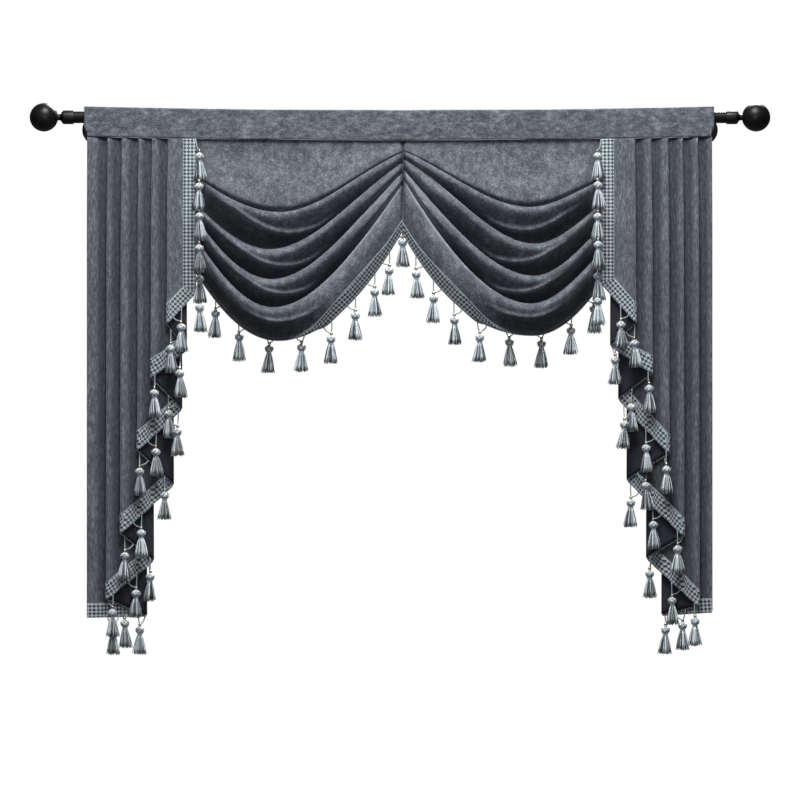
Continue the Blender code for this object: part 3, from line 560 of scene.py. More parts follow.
def turned(profile, steps, axis):
    """A round solid from (along, radius) pairs about the x or y axis, with each end closed by one face.

    Point (i, j) is (along_i, radius_i cos(turn_j), radius_i sin(turn_j)), in the order of the axis.
    """
    profile = np.array(profile)
    turn = np.arange(steps) * (math.tau / steps)
    along = np.broadcast_to(profile[:, :1], (len(profile), steps))
    one = profile[:, 1:] * np.cos(turn)
    other = profile[:, 1:] * np.sin(turn)
    order = (along, one, other) if axis == "x" else (one, along, other)
    uv = cell_uv(profile[:, 0], np.linspace(0, 1, steps + 1))
    points = np.stack(order, axis=-1).reshape(-1, 3)
    return points, grid_cells(len(profile), steps, True), uv, end_caps(len(profile), steps)


def rounded(corners, radius, steps=4):
    """A profile whose inner corners are rounded: each is replaced by an arc between its two edges."""
    corners = [np.array(c, dtype=float) for c in corners]
    out = [corners[0]]
    for before, here, after in zip(corners, corners[1:], corners[2:]):
        back, on = before - here, after - here
        reach = min(radius, 0.45 * np.linalg.norm(back), 0.45 * np.linalg.norm(on))
        start, end = here + unit(back) * reach, here + unit(on) * reach
        for share in np.linspace(0, 1, steps):
            out.append(start * (1 - share) ** 2 + here * 2 * share * (1 - share) + end * share**2)
    out.append(corners[-1])
    return np.array(out)


class Look:
    """A material made node by node, with short calls for its nodes and links."""

    def __init__(self, name, **sockets):
        self.material = bpy.data.materials.new(name)
        self.material.use_nodes = True
        self.tree = self.material.node_tree
        self.shader = self.tree.nodes["Principled BSDF"]
        for socket, value in sockets.items():
            self.shader.inputs[socket.replace("_", " ")].default_value = value

    def node(self, kind, settings=None, **inputs):
        """A node of a kind with its settings, whose inputs are values or other nodes' outputs."""
        made = self.tree.nodes.new("ShaderNode" + kind)
        for name, value in (settings or {}).items():
            setattr(made, name, value)
        for name, value in inputs.items():
            key = int(name[1:]) if name[0] == "i" and name[1:].isdigit() else name.replace("_", " ")
            if isinstance(value, bpy.types.NodeSocket):
                self.tree.links.new(value, made.inputs[key])
            else:
                made.inputs[key].default_value = value
        return made

    def drive(self, socket, output):
        """Feeds one of the shader's sockets."""
        self.tree.links.new(output, self.shader.inputs[socket])

    def noise(self, vector, scale, detail=2.0, roughness=0.5):
        """Soft noise from 0 to 1, with about scale cells in a metre."""
        made = self.node("TexNoise", Vector=vector, Scale=scale, Detail=detail, Roughness=roughness)
        return made.outputs["Fac"]

    def ramp(self, value, stops):
        """A colour ramp over (position, colour) stops."""
        made = self.node("ValToRGB", Fac=value)
        elements = made.color_ramp.elements
        while len(elements) < len(stops):
            elements.new(0.5)
        for element, (position, colour) in zip(elements, stops):
            element.position = position
            element.color = (*colour, 1.0)
        return made.outputs["Color"]

    def math(self, operation, a, b=0.0):
        """An operation on two numbers."""
        return self.node("Math", {"operation": operation}, i0=a, i1=b).outputs[0]

    def blend(self, share, a, b):
        """Colours a and b mixed by a share."""
        made = self.node("Mix", {"data_type": "RGBA"})
        for socket, value in zip((made.inputs[0], made.inputs[6], made.inputs[7]), (share, a, b)):
            if isinstance(value, bpy.types.NodeSocket):
                self.tree.links.new(value, socket)
            else:
                socket.default_value = value
        return made.outputs[2]

    def bump(self, height, strength, distance):
        """Raises the surface's light and dark by a height."""
        made = self.node("Bump", Height=height, Strength=strength, Distance=distance)
        self.drive("Normal", made.outputs["Normal"])

    def place(self, stretch=(1.0, 1.0, 1.0), turn=(0.0, 0.0, 0.0), source="Object"):
        """Coordinates of the piece, stretched and turned."""
        coordinates = self.node("TexCoord").outputs[source]
        return self.node("Mapping", Vector=coordinates, Scale=stretch, Rotation=turn).outputs["Vector"]


def solid(colour):
    """A colour with full cover."""
    return (*colour, 1.0)


def chenille(name, cloth, stretch, crush):
    """Slate chenille: light and dark flecks of pile in crushed patches, with painted shade in its folds and
    its dark wrong side behind.

    Colour = ramp(fine noise + pile noise + broad crushed noise), and the bump is the pile's noise.
    """
    bloom = (0.80, 0.88, 1.0, 1.0)
    look = Look(name, Roughness=0.88, Sheen_Roughness=0.38, Sheen_Tint=bloom, Specular_IOR_Level=0.12)
    where = look.place(stretch)
    broad = look.noise(where, 26.0, 5.0, 0.7)
    patch = look.noise(look.place(tuple(0.8 * s for s in stretch), (0.0, 0.0, 0.4)), 95.0, 3.0, 0.65)
    fleck = look.noise(where, 300.0, 3.0, 0.75)
    pile = look.noise(where, 900.0, 2.0, 0.6)
    fine = look.math("ADD", look.math("MULTIPLY", fleck, 0.75), look.math("MULTIPLY", pile, 0.25))
    slow = look.math("ADD", look.math("SUBTRACT", broad, 0.5), look.math("SUBTRACT", patch, 0.5))
    amount = look.math("ADD", fine, look.math("MULTIPLY", slow, crush))
    face = look.ramp(amount, ((0.34, cloth.dark), (0.50, cloth.mid), (0.68, cloth.light)))
    # Painted shade: the tint attribute mixes the face towards the dark wrong side's colour and takes away
    # sheen where folds would shade the cloth; on the back it gives the wrong side itself.
    shade = look.node("Attribute", {"attribute_name": "tint"}).outputs["Fac"]
    back = look.blend(look.math("MULTIPLY", fleck, 0.16), solid(cloth.wrong), face)
    look.drive("Base Color", look.blend(shade, face, back))
    look.drive("Sheen Weight", look.math("SUBTRACT", 0.72, look.math("MULTIPLY", shade, 0.69)))
    look.bump(look.math("ADD", fleck, pile), 0.5, 0.6 * MM)
    return look.material


def black_metal(fitting):
    """Satin black paint with a faint unevenness in its gloss."""
    look = Look("satin_black_metal", Specular_IOR_Level=0.16)
    where = look.place()
    cloud = look.noise(where, 40.0, 4.0, 0.6)
    low = tuple(c * 0.7 for c in fitting.metal)
    look.drive("Base Color", look.ramp(cloud, ((0.3, low), (0.7, fitting.metal))))
    look.drive("Roughness", look.ramp(cloud, ((0.3, (0.34,) * 3), (0.75, (0.48,) * 3))))
    look.bump(look.noise(where, 1600.0, 2.0), 0.06, 0.1 * MM)
    return look.material


def braid_weave(trim):
    """Black and silver checks set cornerwise, with threads inside each check."""
    look = Look("braid_weave", Roughness=0.62, Sheen_Weight=0.15)
    cells = 1.0 / trim.braid_cell
    where = look.place((cells, cells, cells), (0.0, 0.0, math.radians(45)), "UV")
    light = look.noise(look.place(), 420.0, 2.0, 0.7)
    pale = look.ramp(light, ((0.50, trim.silver), (0.92, trim.white)))
    deep = look.ramp(light, ((0.35, (0.006, 0.008, 0.009)), (0.75, trim.slate)))
    checks = look.node("TexChecker", Vector=where, Scale=1.0).outputs["Fac"]
    look.drive("Base Color", look.blend(checks, deep, pale))
    look.bump(look.noise(look.place(), 1500.0, 1.0), 0.4, 0.3 * MM)
    return look.material


def twisted_yarn(name, dark, pale, pitch, bright):
    """A twisted cord: stripes that wind round it, sin(2 pi (length / pitch + turn))."""
    look = Look(name, Roughness=0.55, Sheen_Weight=0.2)
    split = look.node("SeparateXYZ", Vector=look.node("TexCoord").outputs["UV"])
    along = look.math("MULTIPLY", split.outputs["X"], 1.0 / pitch)
    phase = look.math("MULTIPLY", look.math("ADD", along, split.outputs["Y"]), math.tau)
    lifted = look.math("ADD", look.math("MULTIPLY", look.math("SINE", phase), 0.5), 0.5)
    look.drive("Base Color", look.ramp(lifted, ((0.1, dark), (1.0 - bright, pale), (1.0, pale))))
    look.bump(lifted, 0.6, 0.5 * MM)
    return look.material


def tassel_yarn(trim):
    """Yarn coloured strand by strand, from slate to silver and white, by the tint attribute."""
    look = Look("tassel_yarn", Roughness=0.58, Sheen_Weight=0.3, Sheen_Roughness=0.4)
    tint = look.node("Attribute", {"attribute_name": "tint"}).outputs["Fac"]
    fine = look.noise(look.place((1.0, 1.0, 0.12)), 1400.0, 2.0, 0.7)
    mixed = look.math("ADD", tint, look.math("MULTIPLY", look.math("SUBTRACT", fine, 0.5), 0.35))
    deep = tuple(0.5 * (a + b) for a, b in zip(trim.slate, trim.silver))
    stops = ((0.14, trim.slate), (0.36, deep), (0.60, trim.silver), (0.92, trim.white))
    look.drive("Base Color", look.ramp(mixed, stops))
    look.bump(fine, 0.5, 0.4 * MM)
    return look.material


def gold_bead(trim):
    """Plated bead with fine wear in its gloss."""
    look = Look("gold_bead", Metallic=1.0)
    cloud = look.noise(look.place(), 500.0, 3.0)
    worn = tuple(c * 0.72 for c in trim.gold)
    look.drive("Base Color", look.ramp(cloud, ((0.3, worn), (0.6, trim.gold))))
    look.drive("Roughness", look.ramp(cloud, ((0.3, (0.22,) * 3), (0.8, (0.42,) * 3))))
    return look.material


def pale_floor(studio):
    """A pale floor that throws little light back up under the folds."""
    look = Look("pale_floor", Roughness=0.9)
    cloud = look.noise(look.place(), 3.0, 2.0)
    low = tuple(c * 0.99 for c in studio.pale)
    seen = look.node("LightPath").outputs["Is Camera Ray"]
    pale = look.ramp(cloud, ((0.3, low), (0.7, studio.pale)))
    look.drive("Base Color", look.blend(seen, solid(tuple(c * 0.12 for c in studio.pale)), pale))
    look.drive("Emission Color", pale)
    look.drive("Emission Strength", look.math("MULTIPLY", seen, 0.72))
    return look.material


def band_bottom(x):
    """The height of the heading band's lower edge, a shallow parabola between the brackets."""
    return BAND_BOTTOM - BAND_SAG * (1 - (x / BAND_RIGHT) ** 2)


def crest_height(crest, x, wide):
    """Height along a crest: one cubic from the middle seam to its lowest point, and one to the side."""
    inner = np.clip(x / crest.low_x, 0, 1)
    fall = crest.seam_slope * (inner**3 - 2 * inner**2 + inner) + ease(inner)
    outer = np.clip((x - crest.low_x) / (wide - crest.low_x), 0, 1)
    rise = crest.side_slope * (outer**3 - outer**2) + ease(outer)
    down = crest.seam_z + (crest.low_z - crest.seam_z) * fall
    up = crest.low_z + (crest.side_z - crest.low_z) * rise
    return np.where(x <= crest.low_x, down, up)


class SwagShape:
    """A swag's cloth as sections across it. Each section hangs from the heading, dips into a valley,
    and swells out again just below it, once for every fold. At the hem it is tucked under."""

    def __init__(self, side, columns):
        self.side = side
        self.wide = SWAG_WIDE[side]
        self.x = np.linspace(SEAM_GAP / MM, self.wide, columns)
        self.z = [crest_height(crest, self.x, self.wide) * MM for crest in CRESTS[side]]
        self.z[:4] = [height + VALLEY_RISE for height in self.z[:4]]
        self.world_x = SEAM_X + SIDES[side] * self.x * MM
        self.top = band_bottom(self.world_x) - FIT
        full = SEAM_FULLNESS + (1 - SEAM_FULLNESS) * ease(self.x * MM / SEAM_EASE)
        side_ease = ease((self.wide - self.x - SIDE_FLAT / MM) * MM / SIDE_EASE)
        full = full * (SIDE_FULLNESS + (1 - SIDE_FULLNESS) * side_ease)
        self.depths = [FOLD_DEPTH * full * (above - below) for above, below in zip(self.z, self.z[1:])]
        self.near = 1 - ease((self.x * MM - GATHER[0]) / GATHER[1])
        self.skew = FOLD_SKEW + (SEAM_SKEW - FOLD_SKEW) * self.near
        self.creases = waves(11 if side == "left" else 23, 26, 4, 34)
        self.tuck = ease((self.x / self.wide - TUCK_START) / TUCK_EASE)
        self.turn = TUCK_TURN * ease(self.tuck / TURN_SHARE)
        self.under = bpy.context.scene.valance_trim.braid_wide * self.tuck
        self.drop = self.z[3] - self.z[4]
        self.slope = np.gradient(self.z[4], self.x * MM)
        self.sweep = HEM_SWEEP[0] + (HEM_SWEEP[1] - HEM_SWEEP[0]) * self.tuck

    def panel(self, share):
        """The flat part above the first valley: forward = 0.80 depth sin(share^1.3 pi / 1.8)^2, less a
        dip over its last 8 hundredths."""
        dip = ease((share - DIP_START) / DIP_SPAN)
        swell = PANEL_SWELL * np.sin(math.pi / 1.8 * share**1.3) ** 2
        return self.top + (self.z[0] - self.top) * share, self.depths[0] * swell * (1 - PANEL_DIP * dip)

    def fold(self, number, share):
        """One fold: z = valley - drop share^2, forward = depth sin(pi (share^2)^skew), with a lesser ridge.
        It is an even round pleat at the seam, where skew is near 1, and overhangs further out. The first
        fold starts part of the way round, since no cloth hangs over it."""
        down = share * share
        drop = self.z[number] - self.z[number + 1]
        depth = self.depths[number] * (1 - down) + self.depths[number + 1] * down
        start = FIRST_START if number == 0 else 0.0
        swell = np.sin(math.pi * (start + (1 - start) * down**self.skew))
        return self.z[number] - drop * down, depth * (swell + RIDGE_HIGH * self.ridge(number, down))

    def ridge(self, number, down):
        """A lesser fold, a bell across the height that fades off at both its ends."""
        minor = MINORS[self.side][number]
        middle = np.interp(self.x, (minor.near_x, minor.far_x), (minor.near_share, minor.far_share))
        spread = ease((self.x - minor.near_x + RIDGE_NEAR[0]) / RIDGE_NEAR[1])
        spread = spread * ease((minor.far_x + RIDGE_FAR[0] - self.x) / RIDGE_FAR[1])
        return np.exp(-(((down - middle) / RIDGE_WIDE) ** 2)) * spread

    def face(self, down):
        """The cloth from the last valley to the hem, as a fold that stops part of the way round and is
        thickened a little along its lower edge."""
        swell = np.sin(math.pi * self.sweep * down**FOLD_SKEW) + HEM_RIDGE_HIGH * self.ridge(3, down)
        bead = HEM_BEAD * self.tuck * np.exp(-(((1 - down) * self.drop / HEM_BEAD / 1.5) ** 2))
        return self.z[3] - self.drop * down, self.depths[3] * swell + bead

    def hem(self, left):
        """A point of the section by the length of cloth left to its end: on the face, round the tuck or
        on the cloth tucked under, which runs back and a little upwards."""
        bend = math.pi * self.sweep * FOLD_SKEW * np.cos(math.pi * self.sweep)
        start = np.arctan2(-bend * self.depths[3], self.drop)
        arc = TUCK_RADIUS * self.turn
        lean = bend * self.depths[3] / self.drop
        steep = self.drop * np.sqrt(1 + lean**2) / np.sqrt(1 + self.slope**2)
        heights, forward = self.face(np.clip(1 - np.maximum(left - self.under - arc, 0) / steep, 0, 1))
        angle = start + np.clip(self.under + arc - left, 0, arc) / TUCK_RADIUS
        back, end = np.maximum(self.under - left, 0), start + self.turn
        forward = forward + TUCK_RADIUS * (np.cos(angle) - np.cos(start)) - back * np.sin(end)
        heights = heights - TUCK_RADIUS * (np.sin(angle) - np.sin(start)) - back * np.cos(end)
        return heights, forward

    def points(self, heights, forward):
        """The grid of points with the swag's belly and its small creases added towards the front."""
        fallen = (self.top - heights) / (self.top - self.z[4])
        belly = SWAG_BELLY * np.sin(np.pi * self.x / self.wide) * ease(fallen * BELLY_START)
        crease = bpy.context.scene.valance_cloth.crease
        along = np.broadcast_to(self.x * MM * 0.35, heights.shape)
        fade = ease(self.x / CREASE_EASE) * ease((self.wide - self.x) / CREASE_EASE)
        fade = fade * ease(fallen * 3) * ease((1 - fallen) * 8 + 0.2)
        forward = forward + crease * ripple(along, heights, self.creases) * fade
        seam = SEAM_TURN * np.clip(1 - self.x * MM / SEAM_TURN, 0, 1) ** 2
        y = SWAG_TOP_Y - belly - forward + seam
        return np.stack([np.broadcast_to(self.world_x, heights.shape), y, heights], axis=2)


def stacked(rows):
    """Two arrays from rows of (heights, forward)."""
    return (np.array(values) for values in zip(*rows))


def swag_shade(shape, fold_rows):
    """How much painted shade each point of swag_grid takes from its folds, from 0 to 1.

    It is low on each crest, rises to the valley below it, drops on each lesser fold, and is less
    near the middle seam, save in the last few millimetres, which turn in to the seam.
    """
    share = np.linspace(0, 1, fold_rows, endpoint=False)[:, None]
    down = share * share
    rows = [PANEL_SHADE[0] + PANEL_SHADE[1] * ease((share - 0.90) / 0.10) + 0 * shape.x]
    for number, valley in enumerate(VALLEY_SHADE):
        deep = sum(most * ease((down - start) / span) for most, start, span in SHADE_RISES)
        deep = deep * (1 - RIDGE_LIGHT * shape.ridge(number, down))
        deep = deep + valley * (1 - ease(down / VALLEY_FADE))
        most, start, span = SEAM_RISE
        deep = deep * (1 - shape.near) + most * ease((down - start) / span) * shape.near
        rows.append(deep * (1.0 if number < 3 else shape.tuck))
    under = np.linspace(0, 1, fold_rows)[:, None]
    rows.append(shape.tuck * (1 - TUCK_LIGHT * np.exp(-(((under - 0.32) / 0.10) ** 2))))
    return np.maximum(SHADE * np.concatenate(rows), ease(1.15 - shape.x / 8))


def swag_grid(shape, fold_rows):
    """All rows of a swag from the heading to the end of the cloth that is tucked under."""
    shares = np.linspace(0, 1, fold_rows, endpoint=False)
    rows = [shape.panel(share) for share in shares]
    for number in range(3):
        rows += [shape.fold(number, share) for share in shares]
    below = shape.under + TUCK_RADIUS * shape.turn + TUCK_FACE
    edge = 1 - TUCK_FACE * np.sqrt(1 + shape.slope**2) / shape.drop
    rows += [shape.face(edge * share * share) for share in shares]
    rows += [shape.hem(below * (1 - share)) for share in np.linspace(0, 1, fold_rows)]
    return shape.points(*stacked(rows))


def swag_braid_grid(shape, rows):
    """The strip of a swag's cloth that its braid covers, from its upper edge to just past the cloth's
    end. It is narrower near the middle seam."""
    wide = bpy.context.scene.valance_trim.braid_wide
    least, reach = BRAID_TAPER
    wide = wide * (least + (1 - least) * ease(shape.x * MM / reach))
    lengths = np.linspace(1, 0, rows)[:, None] * wide
    grid = shape.points(*stacked([shape.hem(left) for left in lengths]))
    reach = np.linspace(0, 1, rows)[:, None, None] ** 2
    return grid + BRAID_DROP * unit(grid[-1] - grid[-2]) * reach


class TailShape:
    """A tail's knife pleats. Each layer lies behind those that cover it, and steps forward past them.

    A point of the cloth is found by its run, the distance across the flat cloth, and its height.
    """

    def __init__(self, side, step, arc=7):
        self.side = side
        out = [pleat.out * MM for pleat in TAILS[side]]
        self.spans = [sorted(pair) for pair in zip(out, out[1:])]
        parts, run, fold_runs = [], 0.0, [0.0]
        for layer, (start, end) in enumerate(zip(out, out[1:])):
            place = np.linspace(start, end, max(3, round(abs(end - start) / step)))
            parts.append((place, 0 * place, self.in_front(layer, place), run + abs(place - start)))
            run += abs(end - start)
            fold_runs.append(run)
            if layer < len(out) - 2:
                turn = np.linspace(0, math.pi, arc + 2)[1:-1]
                bulge = math.copysign(FOLD_BULGE, end - start) * np.sin(turn)
                depth = self.in_front(layer, np.array([end])) + 0.5 * (1 - np.cos(turn))
                parts.append((end + 0 * turn, bulge, depth, run + FOLD_RUN * turn / math.pi))
                fold_runs[-1] = run + FOLD_RUN / 2
                run += FOLD_RUN
        self.out, self.bulge, self.layers, self.run = (np.concatenate(values) for values in zip(*parts))
        self.fold_runs = np.array(fold_runs)
        self.fold_hems = np.array([pleat.hem_z * MM for pleat in TAILS[side]])
        self.top = band_bottom(self.out) - FIT
        self.waves = waves(5 if side == "left" else 8, 14, 1.5, 7)

    def in_front(self, layer, place):
        """How many layers of cloth cover each place, fading off past each fold."""
        count = 0 * place
        for low, high in self.spans[:layer]:
            inner = ease((place - (low - FOLD_REACH - FOLD_EASE)) / FOLD_EASE)
            outer = ease(((high + FOLD_REACH + FOLD_EASE) - place) / FOLD_EASE)
            count = count + inner * outer
        return count

    def hem_at(self, run):
        """The hem's height at a run, on straight lines between the folds."""
        return np.interp(run, self.fold_runs, self.fold_hems)

    def middle(self, run, z):
        """(out, y) of the cloth: out + bulge pitch(z), and front(z) + pitch(z) layers, with a slow wave."""
        levels = LEVELS[::-1]
        pitch = np.interp(z, levels, TAIL_PITCH[::-1])
        fronts = [np.interp(z + shift, levels, TAIL_FRONT[::-1]) for shift in FRONT_SHIFTS]
        front = sum(fronts) / len(fronts)
        out = np.interp(run, self.run, self.out) + np.interp(run, self.run, self.bulge) * pitch
        sway = SWAY * ripple(out * 0.8, z * 0.6, self.waves) * ease((-60 * MM - z) / (200 * MM))
        own = OWN_SWAY * ripple(run, z * 0.5, self.waves) * ease((-120 * MM - z) / (300 * MM))
        return np.stack([out, front + pitch * np.interp(run, self.run, self.layers) + sway + own], axis=-1)

    def points(self, run, z, lift):
        """Points lifted off the cloth's middle along the normal of the section towards its face."""
        run, z = np.broadcast_arrays(run, z)
        reach = 0.5 * MM
        low, high = self.run[0], self.run[-1]
        step = self.middle(np.minimum(run + reach, high), z) - self.middle(np.maximum(run - reach, low), z)
        normal = unit(np.stack([step[..., 1], -step[..., 0]], axis=-1))
        moved = self.middle(run, z) + normal * lift
        return np.stack([SIDES[self.side] * moved[..., 0], moved[..., 1], z], axis=-1)

    def rows(self, count):
        """Heights of the tail's rows over its columns, evenly spaced from the seam to the hem."""
        share = np.linspace(0, 1, count)[:, None]
        return self.top * (1 - share) + self.hem_at(self.run) * share

    def braid_path(self, step, wide):
        """Outer and inner (run, z) of the braid along the edge: down the inner edge, then along the hem."""
        hem_runs = self.run[1:]
        runs = np.concatenate([[0, 0], hem_runs])
        edge = np.concatenate([[self.top[0] - MM, self.hem_at(0.0)], self.hem_at(hem_runs)])
        distance = np.concatenate([[0], np.cumsum(np.hypot(np.diff(runs), np.diff(edge)))])
        corner = distance[1]
        at = np.linspace(0, distance[-1] - 0.5 * MM, int(distance[-1] / step))
        run, z = np.interp(at, distance, runs), np.interp(at, distance, edge)
        turn_z = float(self.hem_at(wide)) + float(self.upward(np.array(wide), wide))
        upright = (at < corner) & (z > turn_z)
        drop = np.where(upright, 0.0, BRAID_DROP * np.minimum(1.0, run / DROP_EASE))
        inner_run = np.where(run < wide, wide, run)
        inner_z = np.where(upright, z, np.where(run < wide, turn_z, z + self.upward(run, wide)))
        return np.stack([run, z - drop], axis=1), np.stack([inner_run, inner_z], axis=1), at

    def upward(self, run, wide):
        """The braid's upright height where the hem slopes, from the hem's slope about that place."""
        low, high = np.maximum(run - wide, 0), np.minimum(run + wide, self.run[-1])
        slope = (self.hem_at(high) - self.hem_at(low)) / (high - low)
        return wide * np.sqrt(1 + slope * slope)


def band_section(steps):
    """The band's section as a closed loop of points at even distances along it. Returns (y, z,
    share of the sag)."""
    table = np.array(BAND_SECTION)
    loop = np.concatenate([table, table[:1]])
    run = lengths_along(loop[:, :2])
    at = np.linspace(0, run[-1], steps, endpoint=False)
    dense = np.stack([np.interp(at, run, loop[:, i]) for i in range(3)], axis=1)
    dense[:, :2] *= MM
    return dense


def ringed(profile, reach, turn):
    """A closed shape of rings about z: (reach cos(turn), reach sin(turn), height), in millimetres."""
    rings = np.stack([reach * np.cos(turn), reach * np.sin(turn), profile[:, :1] + 0 * turn], axis=-1)
    count, sides = len(profile), len(turn)
    return (rings * MM).reshape(-1, 3), grid_cells(count, sides, True), end_caps(count, sides)


def strand_paths(trim, draw, long):
    """Middle lines of a skirt's strands, rows by strands, on a spiral of places that fills the skirt.

    Each runs from the collar, radius place * waist, to its tip, radius place * skirt, with a flare
    that grows as share^0.85, a little wander and a slight curl.
    """
    count = trim.strands
    number = np.arange(count)
    place = np.sqrt((number + 0.5) / count)
    angle = number * SPIRAL_TURN + draw.uniform(0, math.tau)
    share = np.linspace(0, 1, STRAND_ROWS)[:, None]
    flare = 0.30 + 0.70 * share**0.85
    length = long * (1 - 0.09 * draw.random(count)) * (1 - 0.02 * place)
    wander = draw.normal(size=(2, count)) * 0.06
    straight = 0.30 + 0.70 * share
    wide = place * (SKIRT_WAIST * (1 - share) + trim.skirt_wide * share) * flare / straight
    deep = place * (SKIRT_WAIST * (1 - share) + trim.skirt_deep * share) * flare / straight
    curl = np.sin(share * 5.0 + angle) * 0.7 * MM * share
    x = wide * np.cos(angle) + wander[0] * trim.skirt_wide * share**2 + curl
    y = deep * np.sin(angle) + wander[1] * trim.skirt_deep * share**2
    z = -SKIRT_TOP - (length - SKIRT_TOP) * share
    return np.stack([x, y, z], axis=-1), share


def tassel_body(trim, seed, long):
    """A tassel's parts about its bead, hanging down z: (points, cells, caps) of head, collar and strands.

    The head is a turned profile with two crossing windings on it: radius + 0.55 swell max(cos, cos).
    The collar is ribbed the same way. Each strand is a four-sided tube along its path.
    """
    draw = np.random.default_rng(seed)
    turn = np.arange(HEAD_SIDES) * (math.tau / HEAD_SIDES)
    profile = rounded(HEAD_PROFILE, 2.6, 3)
    height, radius = profile[:, :1], profile[:, 1:]
    winding = np.maximum(np.cos(6 * turn + height * 0.62), np.cos(6 * turn - height * 0.62 + 0.6))
    swell = np.clip(radius - 3, 0, 5) / 5
    head = ringed(profile, radius + swell * 0.55 * winding, turn)
    head_tint = np.clip(0.42 + 0.40 * winding + 0.16 * draw.normal(size=winding.shape), 0, 1)

    neck = rounded(COLLAR_PROFILE, 0.8, 2)
    rib = neck[:, 1:] + 0.25 * np.cos(14 * turn + neck[:, :1] * 2.5) * (neck[:, 1:] > 3)
    collar = ringed(neck, rib, turn)

    middle, share = strand_paths(trim, draw, long)
    square = np.arange(STRAND_SIDES) * (math.tau / STRAND_SIDES) + 0.4
    girth = trim.strand * (0.8 + 0.35 * share) * np.where(share > 0.99, 0.7, 1.0)
    ring = np.stack([np.cos(square), np.sin(square), 0 * square], axis=-1)
    strands = (middle[:, :, None] + ring * girth[:, :, None, None]).transpose(1, 0, 2, 3)
    each = STRAND_ROWS * STRAND_SIDES
    starts = np.arange(trim.strands) * each
    cells = grid_cells(STRAND_ROWS, STRAND_SIDES, True) + starts[:, None, None]
    top, tip = end_caps(STRAND_ROWS, STRAND_SIDES)
    caps = [[start + i for i in cap] for cap in (top, tip) for start in starts]
    tint = draw.choice(STRAND_TINTS, size=trim.strands, p=TINT_SHARES)
    parts = [head, collar, (strands.reshape(-1, 3), cells.reshape(-1, 4), caps)]
    tints = (head_tint.ravel(), np.full(len(collar[0]), 0.7), np.repeat(tint, each))
    return parts, np.concatenate(tints)


def bead_ball(trim):
    """A bead about the origin, a ball turned about z and a little flattened."""
    radius, turns = trim.bead_radius, np.linspace(0, math.pi, 12)
    arc = [(-radius * math.cos(a), max(POLE / 2, radius * math.sin(a))) for a in turns]
    points, cells, uv, caps = turned(arc, 20, "x")
    return outward(points[:, [2, 1, 0]] * (1, 1, BEAD_FLAT), cells, uv, caps)


class Hung(NamedTuple):
    """A tassel's place: its bead, its length, and the points of the edge that its cords leave from."""

    bead: tuple
    long: float
    feet: tuple


def tassel_below(edge, side_foot, slope, cloth, forward, trim):
    """A tassel whose bead hangs below an edge point, in front of the cloth that it hangs before.

    slope is the rise of the edge there as a share of its length. Where the edge is level the cords
    spread evenly as a V, and where it is steep one falls straight and one comes from the side.
    """
    drop = CORD_DROP[0] + (CORD_DROP[1] - CORD_DROP[0]) * slope
    return tassel_on(edge[0], edge[2] - drop, edge[1], side_foot(drop), cloth, forward, trim)


def tassel_on(x, z, y, feet, cloth, forward, trim):
    """A tassel with its bead at x and z, no further back than y and clear of the cloth behind it."""
    beside = np.abs(cloth[:, 0] - x) < trim.skirt_wide
    level_with = (cloth[:, 2] < z + 4 * MM) & (cloth[:, 2] > z - TASSEL_LONG)
    behind = cloth[beside & level_with, 1]
    y = min([y, *(behind - trim.skirt_deep - TASSEL_CLEAR)]) - forward
    return Hung((x, y, z), TASSEL_LONG, tuple(map(tuple, feet)))


def blocks_of(tassel, trim):
    """Upright blocks about a tassel's head and about its skirt, each as its middle and its halves."""
    x, y, z = tassel.bead
    waist = z - HEAD_LONG
    head = 4 * MM + HEAD_LONG
    skirt = tassel.long - HEAD_LONG
    return (
        ((x, y, waist + head / 2), (10 * MM, 10 * MM, head / 2)),
        ((x, y, waist - skirt / 2), (trim.skirt_wide * 0.75, trim.skirt_deep, skirt / 2)),
    )


def apart(one, other, trim):
    """Whether two tassels' blocks clear each other."""
    for first in blocks_of(one, trim):
        for second in blocks_of(other, trim):
            gaps = np.abs(np.subtract(first[0], second[0])) - np.add(first[1], second[1])
            if gaps.max() < MM:
                return False
    return True


def hang(place, others, trim):
    """The first tassel, stepping forwards, that clears the others. place(forward) makes each one."""
    for forward in FORWARD_STEPS:
        tassel = place(forward * MM)
        if all(apart(tassel, other, trim) for other in others):
            break
    others.append(tassel)
    return tassel


def swag_tassels(shape, cloth, others, trim):
    """Tassels along a swag's hem at the places of the table."""
    hem = swag_braid_grid(shape, 5)[-1] - (0, HEM_LIFT, 0)

    def on(x):
        """The point of the hem at a distance from the seam."""
        return np.array([np.interp(x, shape.x, hem[:, i]) for i in range(3)])

    made = []
    for place in SWAG_TASSELS[shape.side]:
        rise = (on(place + 5) - on(place - 5))[[0, 2]]
        slope = 0.0 if place < LEVEL_NEAR else float(abs(rise[1]) / np.linalg.norm(rise))
        downhill = -1 if np.interp(place, shape.x, shape.slope) > 0 else 1
        near = CORD_SPREAD / MM * (1 - slope) ** 2

        def feet(drop):
            """Where the two cords leave the hem: near the place uphill, and further off downhill."""
            far = min(CORD_SIDE, CORD_SPREAD + drop * (1 - slope) * slope) / MM
            if place < LEVEL_NEAR:
                return [on(place), on(CORD_SPREAD / MM)]
            return [on(place - downhill * near), on(place + downhill * far)]

        made.append(hang(lambda f: tassel_below(on(place), feet, slope, cloth, f, trim), others, trim))
    return made


